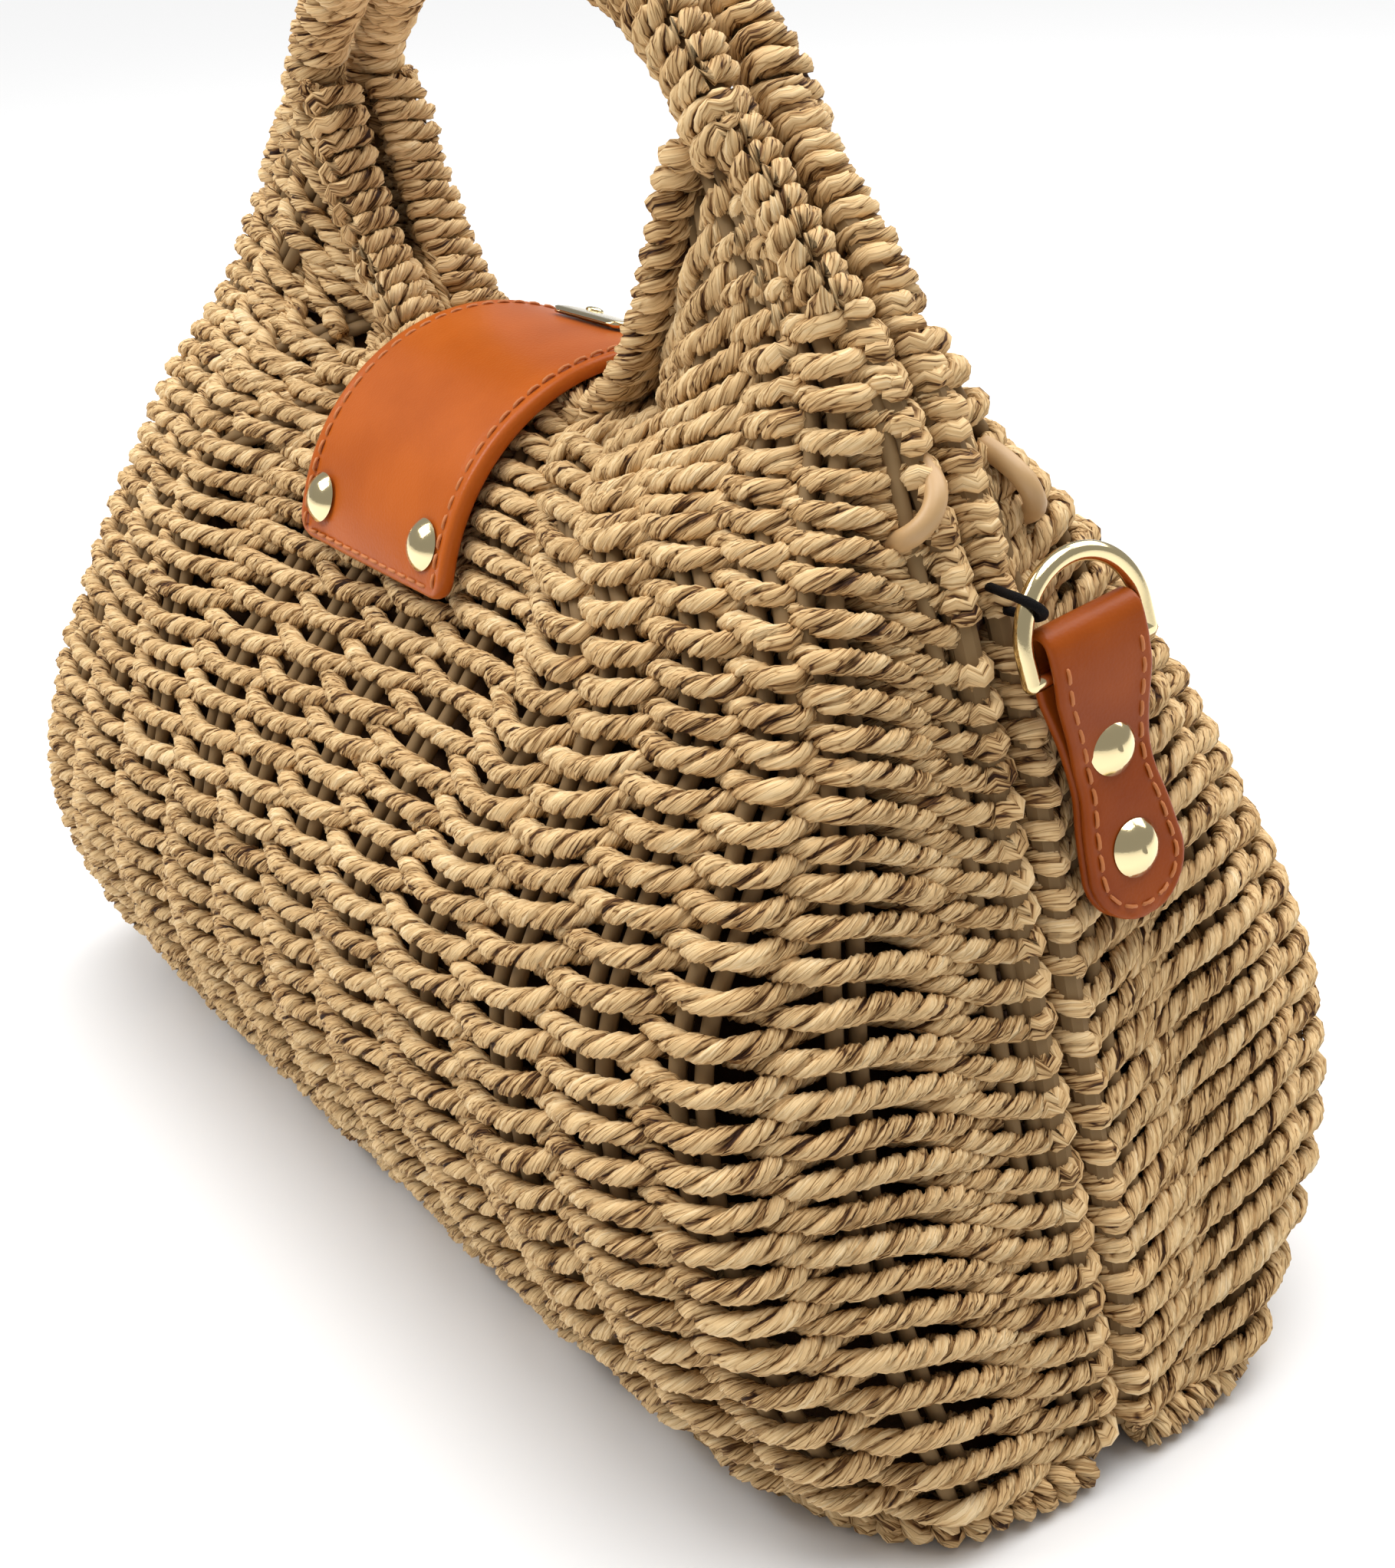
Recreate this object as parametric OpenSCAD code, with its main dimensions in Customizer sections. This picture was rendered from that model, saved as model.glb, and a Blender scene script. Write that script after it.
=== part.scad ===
// Clam-shell wicker handbag: two woven half shells hinged along the base,
// a leather flap over the crest, side tabs with D-rings and two handle arches.
// Origin: middle of the base on the parting line. +X along the length, +Y to the
// front shell, +Z up. The rear shell is at -Y.

/* [Shells] */
// Half length of the bag at the base
base_half_length = 163; // [155:1:170]
// Depth of one shell at the base, from the parting line
base_depth = 58; // [54:1:62]
// Depth of one shell at its fullest
full_depth = 80; // [76:1:84]
// Thickness of the woven wall
wall = 7; // [6:0.5:8]
// Gap left between each shell and the parting plane
parting_gap = 0.2; // [0.15:0.05:0.3]

/* [Crest and handle] */
// Radius of the rounded crest that the flap lies over
crest_radius = 41; // [40:0.5:42]
// Height of the middle of the crest curve
crest_centre = 129; // [128:0.5:130]
// Half width of the hand hole
hole_half_width = 60.5; // [58:0.5:62]
// Radius of the wrapped handle
handle_radius = 6.6; // [6:0.1:7]
// Height of the handle's centre line at the top of the arch
handle_top = 248; // [246:0.5:250]

/* [Rods] */
// Radius of the coated steel hoop
hoop_radius = 2.4; // [2:0.1:2.6]
// Half distance between the two hoops along the hinge line
hinge_spread = 3.4; // [3.2:0.1:3.6]
// Height of the hinge line
hinge_height = 4.6; // [4.4:0.1:4.8]
// Half width of the slot in the base that the hinge runs in
hinge_slot = 8.4; // [8.2:0.1:9]
// Radius of one stake; they stand in pairs
stake_radius = 1.3; // [1:0.1:1.5]
// Radius of the wrapped rod round the base
border_radius = 4.5; // [4:0.25:5]
// Radius of the wrapped rod at the bottom of the hand hole
crest_rim_radius = 3.5; // [3:0.25:4]

/* [Flap] */
// Width of the flap
flap_width = 58.5; // [56:0.5:60]
// Thickness of the doubled leather
leather = 3.4; // [3:0.1:3.6]
// Clearance between the crest and the flap
flap_clearance = 0.6; // [0.5:0.1:0.8]
// Angle of the riveted end above the horizontal, seen from the end
flap_foot_angle = 8; // [7:0.5:9]
// Angle at which the flap bends, seen from the end
flap_bend_angle = 33; // [31:0.5:35]
// Angle of the front tip above the horizontal, seen from the end
flap_tip_angle = 24; // [24:0.5:28]
// Spacing of the two flap rivets
flap_rivet_spacing = 41; // [38:0.5:43]
// Width of the gold plate
plate_width = 24; // [22:0.5:28]
// Length of the gold plate
plate_length = 34; // [30:0.5:36]

/* [Tabs and rings] */
// Width of the strap at its fold
tab_width = 20; // [19:0.5:21]
// Width of the strap at its waist
tab_waist = 16; // [15:0.5:17]
// Distance between the two rivets of a tab
tab_rivet_spacing = 18; // [17:0.5:19]
// Thickness of one layer of strap
strap = 1.8; // [1.6:0.1:1.9]
// Radius of the D-ring's wire
ring_wire = 1.6; // [1.5:0.05:1.7]
// Radius of the D-ring's arc, to the middle of the wire
ring_arc = 12.4; // [12:0.1:13]
// Running clearance of the D-ring's bar in the fold
ring_clearance = 0.1; // [0.06:0.01:0.15]
// Radius of the domed rivet caps
rivet_cap = 4.9; // [4.6:0.1:5.2]

/* [Hidden] */

rope = [0.80, 0.68, 0.47];
rod = [0.78, 0.70, 0.56];
leather_col = [0.72, 0.32, 0.12];
tab_col = [0.58, 0.22, 0.09];
gold = [0.85, 0.74, 0.50];
steel = [0.6, 0.6, 0.62];
cloth = [0.86, 0.72, 0.62];

// Height against half length along the side seam
side_line = [[0, base_half_length], [35, 157.5], [65, 150], [98, 142], [128, 135],
    [148, 128.5], [164, 122], [180, 113.5], [196, 101], [211, 86.5], [223, 74], [232, 64]];
// Height against depth of a shell at mid length, up to the crest curve
depth_line = [[0, base_depth], [15, 65], [35, 75], [60, full_depth], [85, 76],
    [110, 62.5], [122, 51.5], [crest_centre, 45.5], [135, crest_radius]];
// Height against fullness of the plan section (2 is an ellipse, more is boxier)
fullness = [[0, 4.8], [30, 6.4], [60, 6.6], [85, 6], [110, 5.4], [150, 4.8], [166, 4.2]];
// Height against depth of the shoulders, and of the horns above them
horn_line = [[85, 76], [110, 66], [129, 56], [148, 45], [164, 33.5], [174, 25], [190, 18],
    [206, 15.5], [224, 14]];
// Height against half width of the hand hole, which is flat under the flap
hole_line = [[170, 31.5], [174, 34.5], [180, 40], [188, 47.5], [198, hole_half_width - 6.5],
    [210, hole_half_width - 1.8], [224, hole_half_width]];
crest_top = crest_centre + crest_radius;
joint_z = 170.4;
slot_top = 9.4;

function half_length(z) = lookup(z, side_line);
function crest_depth(z) =
    z < 136 ? lookup(z, depth_line)
    : sqrt(max(0, pow(crest_radius, 2) - pow(z - crest_centre, 2)));
function signed_pow(v, p) = sign(v) * pow(abs(v), p);
function hole_half(z) = lookup(z, hole_line);

// Depth between the crest's own curve in the middle and the fuller horns beside it
function local_depth(z, x) =
    let (s = min(1, max(0, (abs(x) - 38) / 40)), k = s * s * (3 - 2 * s))
    z < 85 ? crest_depth(z) : crest_depth(z) + k * max(0, lookup(z, horn_line) - crest_depth(z));

// Scale from a direction in plan to the section's outline
function outline_scale(turn, full) =
    pow(pow(abs(sin(turn)), full) + pow(abs(cos(turn)), full), -1 / full);

// A point of the rear shell: height, direction from the middle and distance inwards
function shell_point(z, depth, full, turn, inset, min_y, lift) =
    let (
        reach = outline_scale(turn, full),
        shrink = (crest_radius - inset) / crest_radius,
        x = sin(turn) * reach * (half_length(z) - inset),
        raised = max(0, local_depth(z, x) - crest_depth(z)) * (depth > 1 ? 1 : 0),
        d = (z <= crest_centre ? depth - inset : (depth + raised) * shrink),
        h = z <= crest_centre ? max(z, inset + lift) : crest_centre + (z - crest_centre) * shrink,
        edge = h <= slot_top ? min_y : parting_gap
    )
    [x, -edge - max(0, d - edge) * cos(turn) * reach, h];

wall_heights = [0, 9.3, 9.6, 18, 28, 40, 52, 65, 78, 91, 104, 117, 129, 136, 144, 151,
    157, 162, 166, 169];

function quads(a0, a1, b0, b1, turn = false) =
    turn ? [[a0, a1, b0], [a1, b1, b0]] : [[a0, a1, b1], [a0, b1, b0]];
function flat(list) = [for (part = list) for (item = part) item];

// A closed sheet between two insets, over the whole of one shell, with a flat base
module shell_sheet(outer, inner, heights, steps, min_y, lift = 0) {
    rows = concat(
        [for (z = heights) [z, crest_depth(z), lookup(z, fullness)]],
        [[crest_top + 0.1, parting_gap, 4.2]]);
    nr = len(rows);
    nc = steps + 1;
    points = [for (inset = [outer, inner]) for (row = rows) for (j = [0 : steps])
        shell_point(row[0], row[1], row[2], -90 + 180 * j / steps, inset, min_y, lift)];
    at = nr * nc;
    faces = concat(
        flat([for (i = [nr - 2 : -1 : 0]) let (p = i * nc + nc - 1)
            quads(p, p + nc, at + p, at + p + nc)]),
        flat([for (i = [0 : nr - 2]) let (p = i * nc)
            quads(p, at + p, p + nc, at + p + nc)]),
        flat([for (j = [0 : nc - 2]) let (p = (nr - 1) * nc + j)
            quads(p, at + p, p + 1, at + p + 1)]),
        flat([for (i = [0 : nr - 2]) for (j = [0 : nc - 2]) let (p = i * nc + j)
            quads(p, p + nc, p + 1, p + nc + 1, 2 * j < steps)]),
        flat([for (i = [0 : nr - 2]) for (j = [0 : nc - 2]) let (p = at + i * nc + j)
            quads(p, p + 1, p + nc, p + nc + 1, 2 * j < steps)]),
        quads(0, nc - 1, at, at + nc - 1),
        [[for (j = [0 : nc - 1]) j]],
        [[for (j = [nc - 1 : -1 : 0]) at + j]]);
    polyhedron(points, faces);
}

// One horn of the rear shell, from the crest's level up to the handle
module horn() {
    steps = 10;
    heights = [joint_z, 173, 177, 183, 190, 198, 206, 214, 220];
    nr = len(heights);
    nc = steps + 1;
    points = [for (z = heights) for (j = [0 : steps])
        let (
            tau = -90 + 180 * j / steps,
            inner = hole_half(z), outer = half_length(z),
            x = (inner + outer) / 2 + (outer - inner) / 2 * signed_pow(sin(tau), 0.77)
        )
        [x, -parting_gap - lookup(z, horn_line) * pow(cos(tau), 0.77), z]];
    faces = concat(
        flat([for (i = [0 : nr - 2]) for (j = [0 : nc - 2]) let (p = i * nc + j)
            quads(p, p + nc, p + 1, p + nc + 1)]),
        flat([for (i = [0 : nr - 2]) let (p = i * nc)
            quads(p, p + nc - 1, p + nc, p + 2 * nc - 1)]),
        [[for (j = [0 : nc - 1]) j]],
        [[for (j = [nc - 1 : -1 : 0]) (nr - 1) * nc + j]]);
    polyhedron(points, faces);
}

function unit(v) = v / norm(v);
function heading(path, i, closed) =
    let (n = len(path))
    closed ? unit(path[(i + 1) % n] - path[(i + n - 1) % n])
    : unit(path[min(i + 1, n - 1)] - path[max(i - 1, 0)]);

// A round rod along a path; side is a direction never parallel to the path
module sweep(path, radius, sides, side, closed = false) {
    n = len(path);
    points = [for (i = [0 : n - 1])
        let (t = heading(path, i, closed), u = unit(cross(t, side)), v = cross(t, u))
        for (k = [0 : sides - 1])
            path[i] + radius * (cos(360 * k / sides) * u + sin(360 * k / sides) * v)];
    last = closed ? n - 1 : n - 2;
    tube = flat([for (i = [0 : last]) for (k = [0 : sides - 1])
        let (a = i * sides, b = ((i + 1) % n) * sides, m = (k + 1) % sides)
        [[a + k, b + m, b + k], [a + k, a + m, b + m]]]);
    caps = closed ? [] : [
        [for (k = [sides - 1 : -1 : 0]) k],
        [for (k = [0 : sides - 1]) (n - 1) * sides + k]];
    polyhedron(points, concat(tube, caps));
}

// A smooth curve through hand-placed points
function blend_point(a, b, c, d, t) =
    0.5 * (2 * b + (c - a) * t + (2 * a - 5 * b + 4 * c - d) * t * t
        + (3 * b - a - 3 * c + d) * t * t * t);
function smooth(pts, steps) =
    let (n = len(pts))
    concat([for (i = [0 : n - 2]) for (k = [0 : steps - 1])
        blend_point(pts[max(i - 1, 0)], pts[i], pts[i + 1], pts[min(i + 2, n - 1)], k / steps)],
        [pts[n - 1]]);
function mirrored(half) = concat(half, [for (i = [len(half) - 2 : -1 : 0])
    [-half[i][0], half[i][1], half[i][2]]]);

// Line of the handle, from where it leaves the right horn to the top of its arch
handle_y = -handle_radius - parting_gap;
handle_half = [[73, handle_y, 216.5], [69, handle_y, 223], [63, handle_y, 229.5],
    [54, handle_y, 236], [42, handle_y, 241.8], [22, handle_y, 246.6], [0, handle_y, handle_top]];

module mirror_x() {
    children();
    mirror([1, 0, 0]) children();
}
module other_side() {
    mirror([0, 1, 0]) children();
}

// Woven rope wall, half base and horns of the rear shell
module weave_half() {
    color(rope) {
        shell_sheet(0, wall, wall_heights, 28, hinge_slot);
        mirror_x() horn();
    }
}

// Rope-wrapped rod round the half base, just inside its edge
module border_half() {
    inset = border_radius + 1;
    full = fullness[0][1];
    path = [for (j = [0 : 24])
        let (turn = -80 + 160 * j / 24, reach = outline_scale(turn, full))
        [(base_half_length - inset) * sin(turn) * reach,
         -max((base_depth - inset) * cos(turn) * reach, hinge_slot + border_radius + 1),
         border_radius]];
    color(rope) sweep(path, border_radius, 8, [0, 0, 1]);
}

// Coated steel hoop: along the hinge line, up both seams and over the handle
module hoop_half() {
    lift = hoop_radius + 1.6;
    y = -hinge_spread;
    low = half_length(0) - 9;
    side = [for (z = [30, 60, 90, 120, 145, 165, 185, 202]) [half_length(z) - lift, y - 0.6, z]];
    top = [[80.5, y - 1, 209.5], [71, y - 2, 219.5], [63, y - 3, 229.5], [54, y - 3, 236],
        [42, y - 3, 241.8], [22, y - 3, 246.6], [0, y - 3, handle_top]];
    right = smooth(concat([[low - 4, y, hinge_height], [low + 0.5, y, hinge_height + 3],
        [low + 1.5, y, 14]], side, top), 2);
    bottom = [for (x = [-low + 30, -60, 0, 60, low - 30]) [x, y, hinge_height]];
    path = concat(mirrored(right), bottom);
    color(rod) sweep(path, hoop_radius, 8, [0, 1, 0], true);
}

// Paired stakes in the middle of the wall, spread along each section
stake_angles = [4.8, 13.2, 24.3, 33.7, 40.7, 46.9, 60.3, 77];
stake_heights = [5, 25, 50, 75, 100, 125, 145, 160];
horn_heights = [180, 200];
stake_split = 2;
function stake_line(z, turn) =
    let (
        mid = wall / 2, reach = outline_scale(turn, lookup(z, fullness)),
        x = (half_length(z) - mid) * sin(turn) * reach
    )
    [x, -max((local_depth(z, x) - mid) * cos(turn) * reach, mid), z];
function horn_stake(z, turn) =
    let (share = turn / 60, from = hole_half(z) + 3, to = half_length(z) - 4)
    [min(to, max(from, share * half_length(z))), -0.6 * lookup(z, horn_line), z];
module stakes_half() {
    color(rod) for (turn = stake_angles, side = [-1, 1], flip = [-1, 1]) {
        wall_part = [for (z = stake_heights)
            let (
                mid = stake_line(z, turn), near = stake_line(z, turn - 1),
                far = stake_line(z, turn + 1),
                along = unit(far - near)
            )
            mid + side * stake_split * along];
        horn_part = turn > 38 && turn < 70
            ? [for (z = horn_heights) horn_stake(z, turn) + [side * stake_split, 0, 0]] : [];
        path = [for (p = concat(wall_part, horn_part)) [flip * p[0], min(p[1], -2), p[2]]];
        sweep(path, stake_radius, 5, [1, 0.2 * flip, 0]);
    }
}

// Rope-wrapped rod along the bottom of the hand hole
module crest_rim_half() {
    y = -crest_rim_radius - parting_gap;
    half = [[63, y, 211.9], [61, y, 203], [56.5, y, 192], [50, y, 182], [43, y, 173.5],
        [37, y, 168], [31, y, 166], [0, y, 166]];
    path = mirrored(half);
    color(rope) sweep(path, crest_rim_radius, 8, [0, 1, 0]);
}

// Rope coil round the handle arch
module handle_half() {
    color(rope) sweep(mirrored(smooth(handle_half, 3)), handle_radius, 12, [0, 1, 0]);
}

// Fabric lining over its stiffening board, against the inside of the wall
lining_heights = [0, 14, 32, 60, 85, 108, 129, 148, 162];
lining_gap = 0.4;
lining_thickness = 2.5;
lining_lift = 1.8;
module lining_half() {
    outside = wall + lining_gap;
    color(cloth) shell_sheet(outside, outside + lining_thickness, lining_heights, 20, parting_gap,
        lining_lift);
}

// A sector of a ring seen from the end, for leather that follows the crest
module crest_sector(from, to, inner, outer) {
    reach = 2 * outer;
    intersection() {
        difference() {
            circle(r = outer, $fn = 120);
            circle(r = inner, $fn = 120);
        }
        polygon(concat([[0, 0]], [for (a = [from : (to - from) / 6 : to + 0.01])
            reach * [cos(a), sin(a)]]));
    }
}
flap_inner = crest_radius + flap_clearance;
flap_outer = flap_inner + leather;

// Turns a profile drawn in Y and Z into a strip along X, centred
module along_x(width) {
    translate([-width / 2, 0, crest_centre])
        rotate([90, 0, 90]) linear_extrude(width) children();
}
// Stands a piece on the crest curve at an angle above the rear or front horizontal
module on_crest(angle, radius) {
    translate([0, radius * cos(angle), crest_centre + radius * sin(angle)])
        rotate([angle - 90, 0, 0]) children();
}
module rivet_dome(radius, height) {
    sphere_r = (radius * radius + height * height) / (2 * height);
    rotate_extrude($fn = 48) intersection() {
        translate([0, height - sphere_r]) circle(r = sphere_r, $fn = 96);
        square([radius, height]);
    }
}

foot_angle = 180 - flap_foot_angle;
bend_angle = 180 - flap_bend_angle;
flap_rivet_angle = 180 - 20;
post_radius = 1.6;

module flap_foot() {
    color(leather_col) difference() {
        along_x(flap_width) crest_sector(bend_angle + 0.4, foot_angle, flap_inner, flap_outer);
        for (x = [-1, 1]) translate([x * flap_rivet_spacing / 2, 0, 0])
            on_crest(flap_rivet_angle, flap_inner - 3)
                cylinder(r = post_radius + 0.1, h = leather + 6, $fn = 32);
    }
}
module flap_rivets() {
    color(gold) for (x = [-1, 1]) translate([x * flap_rivet_spacing / 2, 0, 0]) {
        on_crest(flap_rivet_angle, flap_outer) rivet_dome(rivet_cap, 2.2);
        on_crest(flap_rivet_angle, crest_radius - wall - 1.2)
            cylinder(r = post_radius, h = wall + leather + flap_clearance + 1.2, $fn = 32);
    }
}
module flap_rivet_washers() {
    color(steel) for (x = [-1, 1]) translate([x * flap_rivet_spacing / 2, 0, 0])
        on_crest(flap_rivet_angle, crest_radius - wall - 1) difference() {
            cylinder(r = rivet_cap, h = 0.8, $fn = 48);
            translate([0, 0, -1]) cylinder(r = post_radius + 0.1, h = 3, $fn = 32);
        }
}

// Leather from the bend over the crest and down the front
magnet_angle = 34;
magnet_radius = 7;
magnet_height = 1.6;
module flap() {
    color(leather_col) difference() {
        along_x(flap_width) crest_sector(flap_tip_angle, bend_angle - 0.4, flap_inner, flap_outer);
        on_crest(magnet_angle, flap_inner + 0.5)
            cylinder(r = magnet_radius + 0.1, h = magnet_height + 0.1, $fn = 48);
        for (x = [-1, 1], s = [-1, 1]) plate_at(x, s)
            translate([0, 0, -6]) cylinder(r = stud_radius + 0.1, h = 7, $fn = 24);
    }
}

// Flat gold plate, tangent to the flap, and its four small rivets
plate_angle = 58;
plate_thickness = 1.4;
stud_radius = 1;
module plate_at(x, s) {
    on_crest(plate_angle, flap_outer)
        translate([x * (plate_width / 2 - 3), s * 8, 0]) children();
}
module closure_plate() {
    color(gold) on_crest(plate_angle, flap_outer + 0.05) difference() {
        translate([0, 0, plate_thickness / 2])
            linear_extrude(plate_thickness, center = true)
                offset(r = 3, $fn = 32) square([plate_width - 6, plate_length - 6], center = true);
        for (x = [-1, 1], s = [-1, 1]) translate([x * (plate_width / 2 - 3), s * 8, -1])
            cylinder(r = stud_radius + 0.1, h = 4, $fn = 24);
    }
}
module closure_studs() {
    color(gold) for (x = [-1, 1], s = [-1, 1]) plate_at(x, s) {
        translate([0, 0, plate_thickness + 0.1]) rivet_dome(1.9, 0.8);
        translate([0, 0, -2.4]) cylinder(r = stud_radius, h = 2.6 + plate_thickness, $fn = 24);
    }
}
module flap_magnet() {
    color(steel) on_crest(magnet_angle, flap_inner + 0.5)
        cylinder(r = magnet_radius, h = magnet_height, $fn = 48);
}
module catch_magnet() {
    color(steel) on_crest(magnet_angle, crest_radius - 2)
        cylinder(r = magnet_radius, h = 2, $fn = 48);
}
module catch_washer() {
    color(steel) on_crest(magnet_angle, crest_radius - wall - 1)
        cylinder(r = magnet_radius, h = 0.8, $fn = 48);
}

// Leather loops round the two hoops, spaced along the hinge line
loop_places = [-142, -71, 0, 71, 142];
loop_width = 11;
loop_skin = 1.1;
module loop_outline(radius) {
    hull() for (s = [-1, 1]) translate([s * hinge_spread, hinge_height]) circle(r = radius, $fn = 32);
}
module hinge_loops() {
    bore = hoop_radius + 0.25;
    color(tab_col) for (x = loop_places) translate([x - loop_width / 2, 0, 0])
        rotate([90, 0, 90]) linear_extrude(loop_width) difference() {
            loop_outline(bore + loop_skin);
            loop_outline(bore);
        }
}

// Frame of a side tab: x outwards from the shell, y across, z up, between its rivets
module tab_frame() {
    translate([137.8, 16, 116]) rotate([0, 0, -2]) rotate([0, -11.5, 0]) rotate([7.6, 0, 0]) children();
}
fold_radius = strap + ring_wire + ring_clearance;
bar_height = 24.6;
fold_slack = 4.5;
tab_bottom = -21;
module tab_profile() {
    eye = ring_wire + ring_clearance;
    difference() {
        union() {
            translate([0, tab_bottom]) square([2 * strap, 21 + 9]);
            polygon([[0, 8], [2 * strap, 8], [2 * fold_radius, bar_height - 1],
                [2 * fold_radius, bar_height + fold_slack], [0, bar_height + fold_slack]]);
            translate([fold_radius, bar_height + fold_slack]) circle(r = fold_radius, $fn = 48);
        }
        translate([fold_radius, bar_height]) circle(r = eye, $fn = 48);
        translate([fold_radius, bar_height + fold_slack]) circle(r = eye, $fn = 48);
        translate([fold_radius - eye, bar_height]) square([2 * eye, fold_slack]);
    }
}
module tab_face() {
    end = tab_width / 2 - 0.5;
    translate([0, tab_bottom + end]) circle(r = end, $fn = 64);
    half = [[end - 0.5, tab_bottom + end - 0.5], [tab_waist / 2, 2], [tab_waist / 2, 8],
        [tab_width / 2, 20], [tab_width / 2, 40]];
    polygon(concat(half, [for (i = [len(half) - 1 : -1 : 0]) [-half[i][0], half[i][1]]]));
}
module tab() {
    color(tab_col) tab_frame() difference() {
        intersection() {
            translate([0, tab_width, 0]) rotate([90, 0, 0]) linear_extrude(2 * tab_width) tab_profile();
            translate([-5, 0, 0]) rotate([90, 0, 90]) linear_extrude(20) tab_face();
        }
        for (s = [-1, 1]) translate([-5, 0, s * tab_rivet_spacing / 2])
            rotate([0, 90, 0]) cylinder(r = post_radius + 0.1, h = 15, $fn = 32);
    }
}
module left_tab() {
    mirror([1, 0, 0]) tab();
}
module right_tab() {
    tab();
}
module tab_rivets() {
    color(gold) mirror_x() tab_frame() for (s = [-1, 1])
        translate([0, 0, s * tab_rivet_spacing / 2]) rotate([0, 90, 0]) {
            translate([0, 0, 2 * strap]) rivet_dome(rivet_cap, 2.4);
            translate([0, 0, -wall - 2.8]) cylinder(r = post_radius, h = wall + 2.8 + 2 * strap, $fn = 32);
        }
}
module tab_rivet_washers() {
    color(steel) mirror_x() tab_frame() for (s = [-1, 1])
        translate([-wall - 2.6, 0, s * tab_rivet_spacing / 2]) rotate([0, 90, 0]) difference() {
            cylinder(r = rivet_cap, h = 0.8, $fn = 48);
            translate([0, 0, -1]) cylinder(r = post_radius + 0.1, h = 3, $fn = 32);
        }
}

// D-ring: a straight bar in the fold, two short legs and an arc
ring_leg = 4.2;
module d_ring() {
    color(gold) tab_frame() translate([fold_radius, 0, bar_height]) {
        translate([0, ring_arc, 0]) rotate([90, 0, 0])
            cylinder(r = ring_wire, h = 2 * ring_arc, $fn = 48);
        for (s = [-1, 1]) translate([0, s * ring_arc, 0]) {
            sphere(r = ring_wire, $fn = 48);
            cylinder(r = ring_wire, h = ring_leg, $fn = 48);
        }
        translate([0, 0, ring_leg]) rotate([90, 0, 90])
            rotate_extrude(angle = 180, $fn = 96) translate([ring_arc, 0]) circle(r = ring_wire, $fn = 48);
    }
}
module left_d_ring() {
    mirror([1, 0, 0]) d_ring();
}
module right_d_ring() {
    d_ring();
}

// Thin cord from the seam round the lower limb of the right ring and back
cord_route = [[122.4, 2.6, 151.2], [126.5, 1.2, 152.1], [130.1, 0.5, 152.4], [132.6, -0.2, 152.8],
    [134.3, -0.3, 152.8], [135.7, 0.4, 152.3], [136.5, 1.5, 151.4], [136.2, 2.8, 150.2],
    [135.1, 3.5, 149.2], [133.6, 3.5, 148.6], [130.8, 3.3, 148.5], [126.9, 3.3, 148.1],
    [122.4, 2.8, 148.4]];
cord_radius = 0.8;
module stay_cord() {
    color([0.08, 0.07, 0.07]) sweep(smooth(cord_route, 2), cord_radius, 8, [0, 0, 1]);
}

weave_half();  // rear_weave
border_half();  // rear_base_border
hoop_half();  // rear_frame_hoop
stakes_half();  // rear_stakes
crest_rim_half();  // rear_crest_rim
handle_half();  // rear_handle_wrap
lining_half();  // rear_lining
flap_foot();
flap_rivets();
flap_rivet_washers();
hinge_loops();
other_side() weave_half();  // front_weave
other_side() border_half();  // front_base_border
other_side() hoop_half();  // front_frame_hoop
other_side() stakes_half();  // front_stakes
other_side() crest_rim_half();  // front_crest_rim
other_side() handle_half();  // front_handle_wrap
other_side() lining_half();  // front_lining
catch_magnet();
catch_washer();
left_tab();
right_tab();
tab_rivets();
tab_rivet_washers();
stay_cord();
flap();
closure_plate();
closure_studs();
flap_magnet();
left_d_ring();
right_d_ring();
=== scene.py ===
"""Visual model of the clam-shell rope handbag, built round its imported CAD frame.

Lengths are in mm until a mesh is made. Each half is drawn once, as the rear one, and mirrored for the front.
"""
import math

import bpy
import numpy as np
from mathutils import Matrix, Vector


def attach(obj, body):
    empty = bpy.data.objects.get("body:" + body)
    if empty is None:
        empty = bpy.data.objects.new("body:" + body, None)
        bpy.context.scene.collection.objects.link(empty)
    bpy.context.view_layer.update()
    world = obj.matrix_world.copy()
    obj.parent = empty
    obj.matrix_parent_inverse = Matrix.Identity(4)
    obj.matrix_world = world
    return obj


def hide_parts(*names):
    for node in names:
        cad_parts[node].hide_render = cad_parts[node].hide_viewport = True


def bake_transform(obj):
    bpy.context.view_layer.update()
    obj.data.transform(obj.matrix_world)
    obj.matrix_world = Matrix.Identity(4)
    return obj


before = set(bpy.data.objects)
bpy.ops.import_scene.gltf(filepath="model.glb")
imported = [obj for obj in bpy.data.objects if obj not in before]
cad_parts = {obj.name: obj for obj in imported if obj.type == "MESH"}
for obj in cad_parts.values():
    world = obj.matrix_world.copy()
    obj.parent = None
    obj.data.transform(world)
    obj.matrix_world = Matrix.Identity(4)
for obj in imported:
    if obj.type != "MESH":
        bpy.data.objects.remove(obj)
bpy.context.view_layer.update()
rng = np.random.default_rng(7)
MM = 0.001


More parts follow.
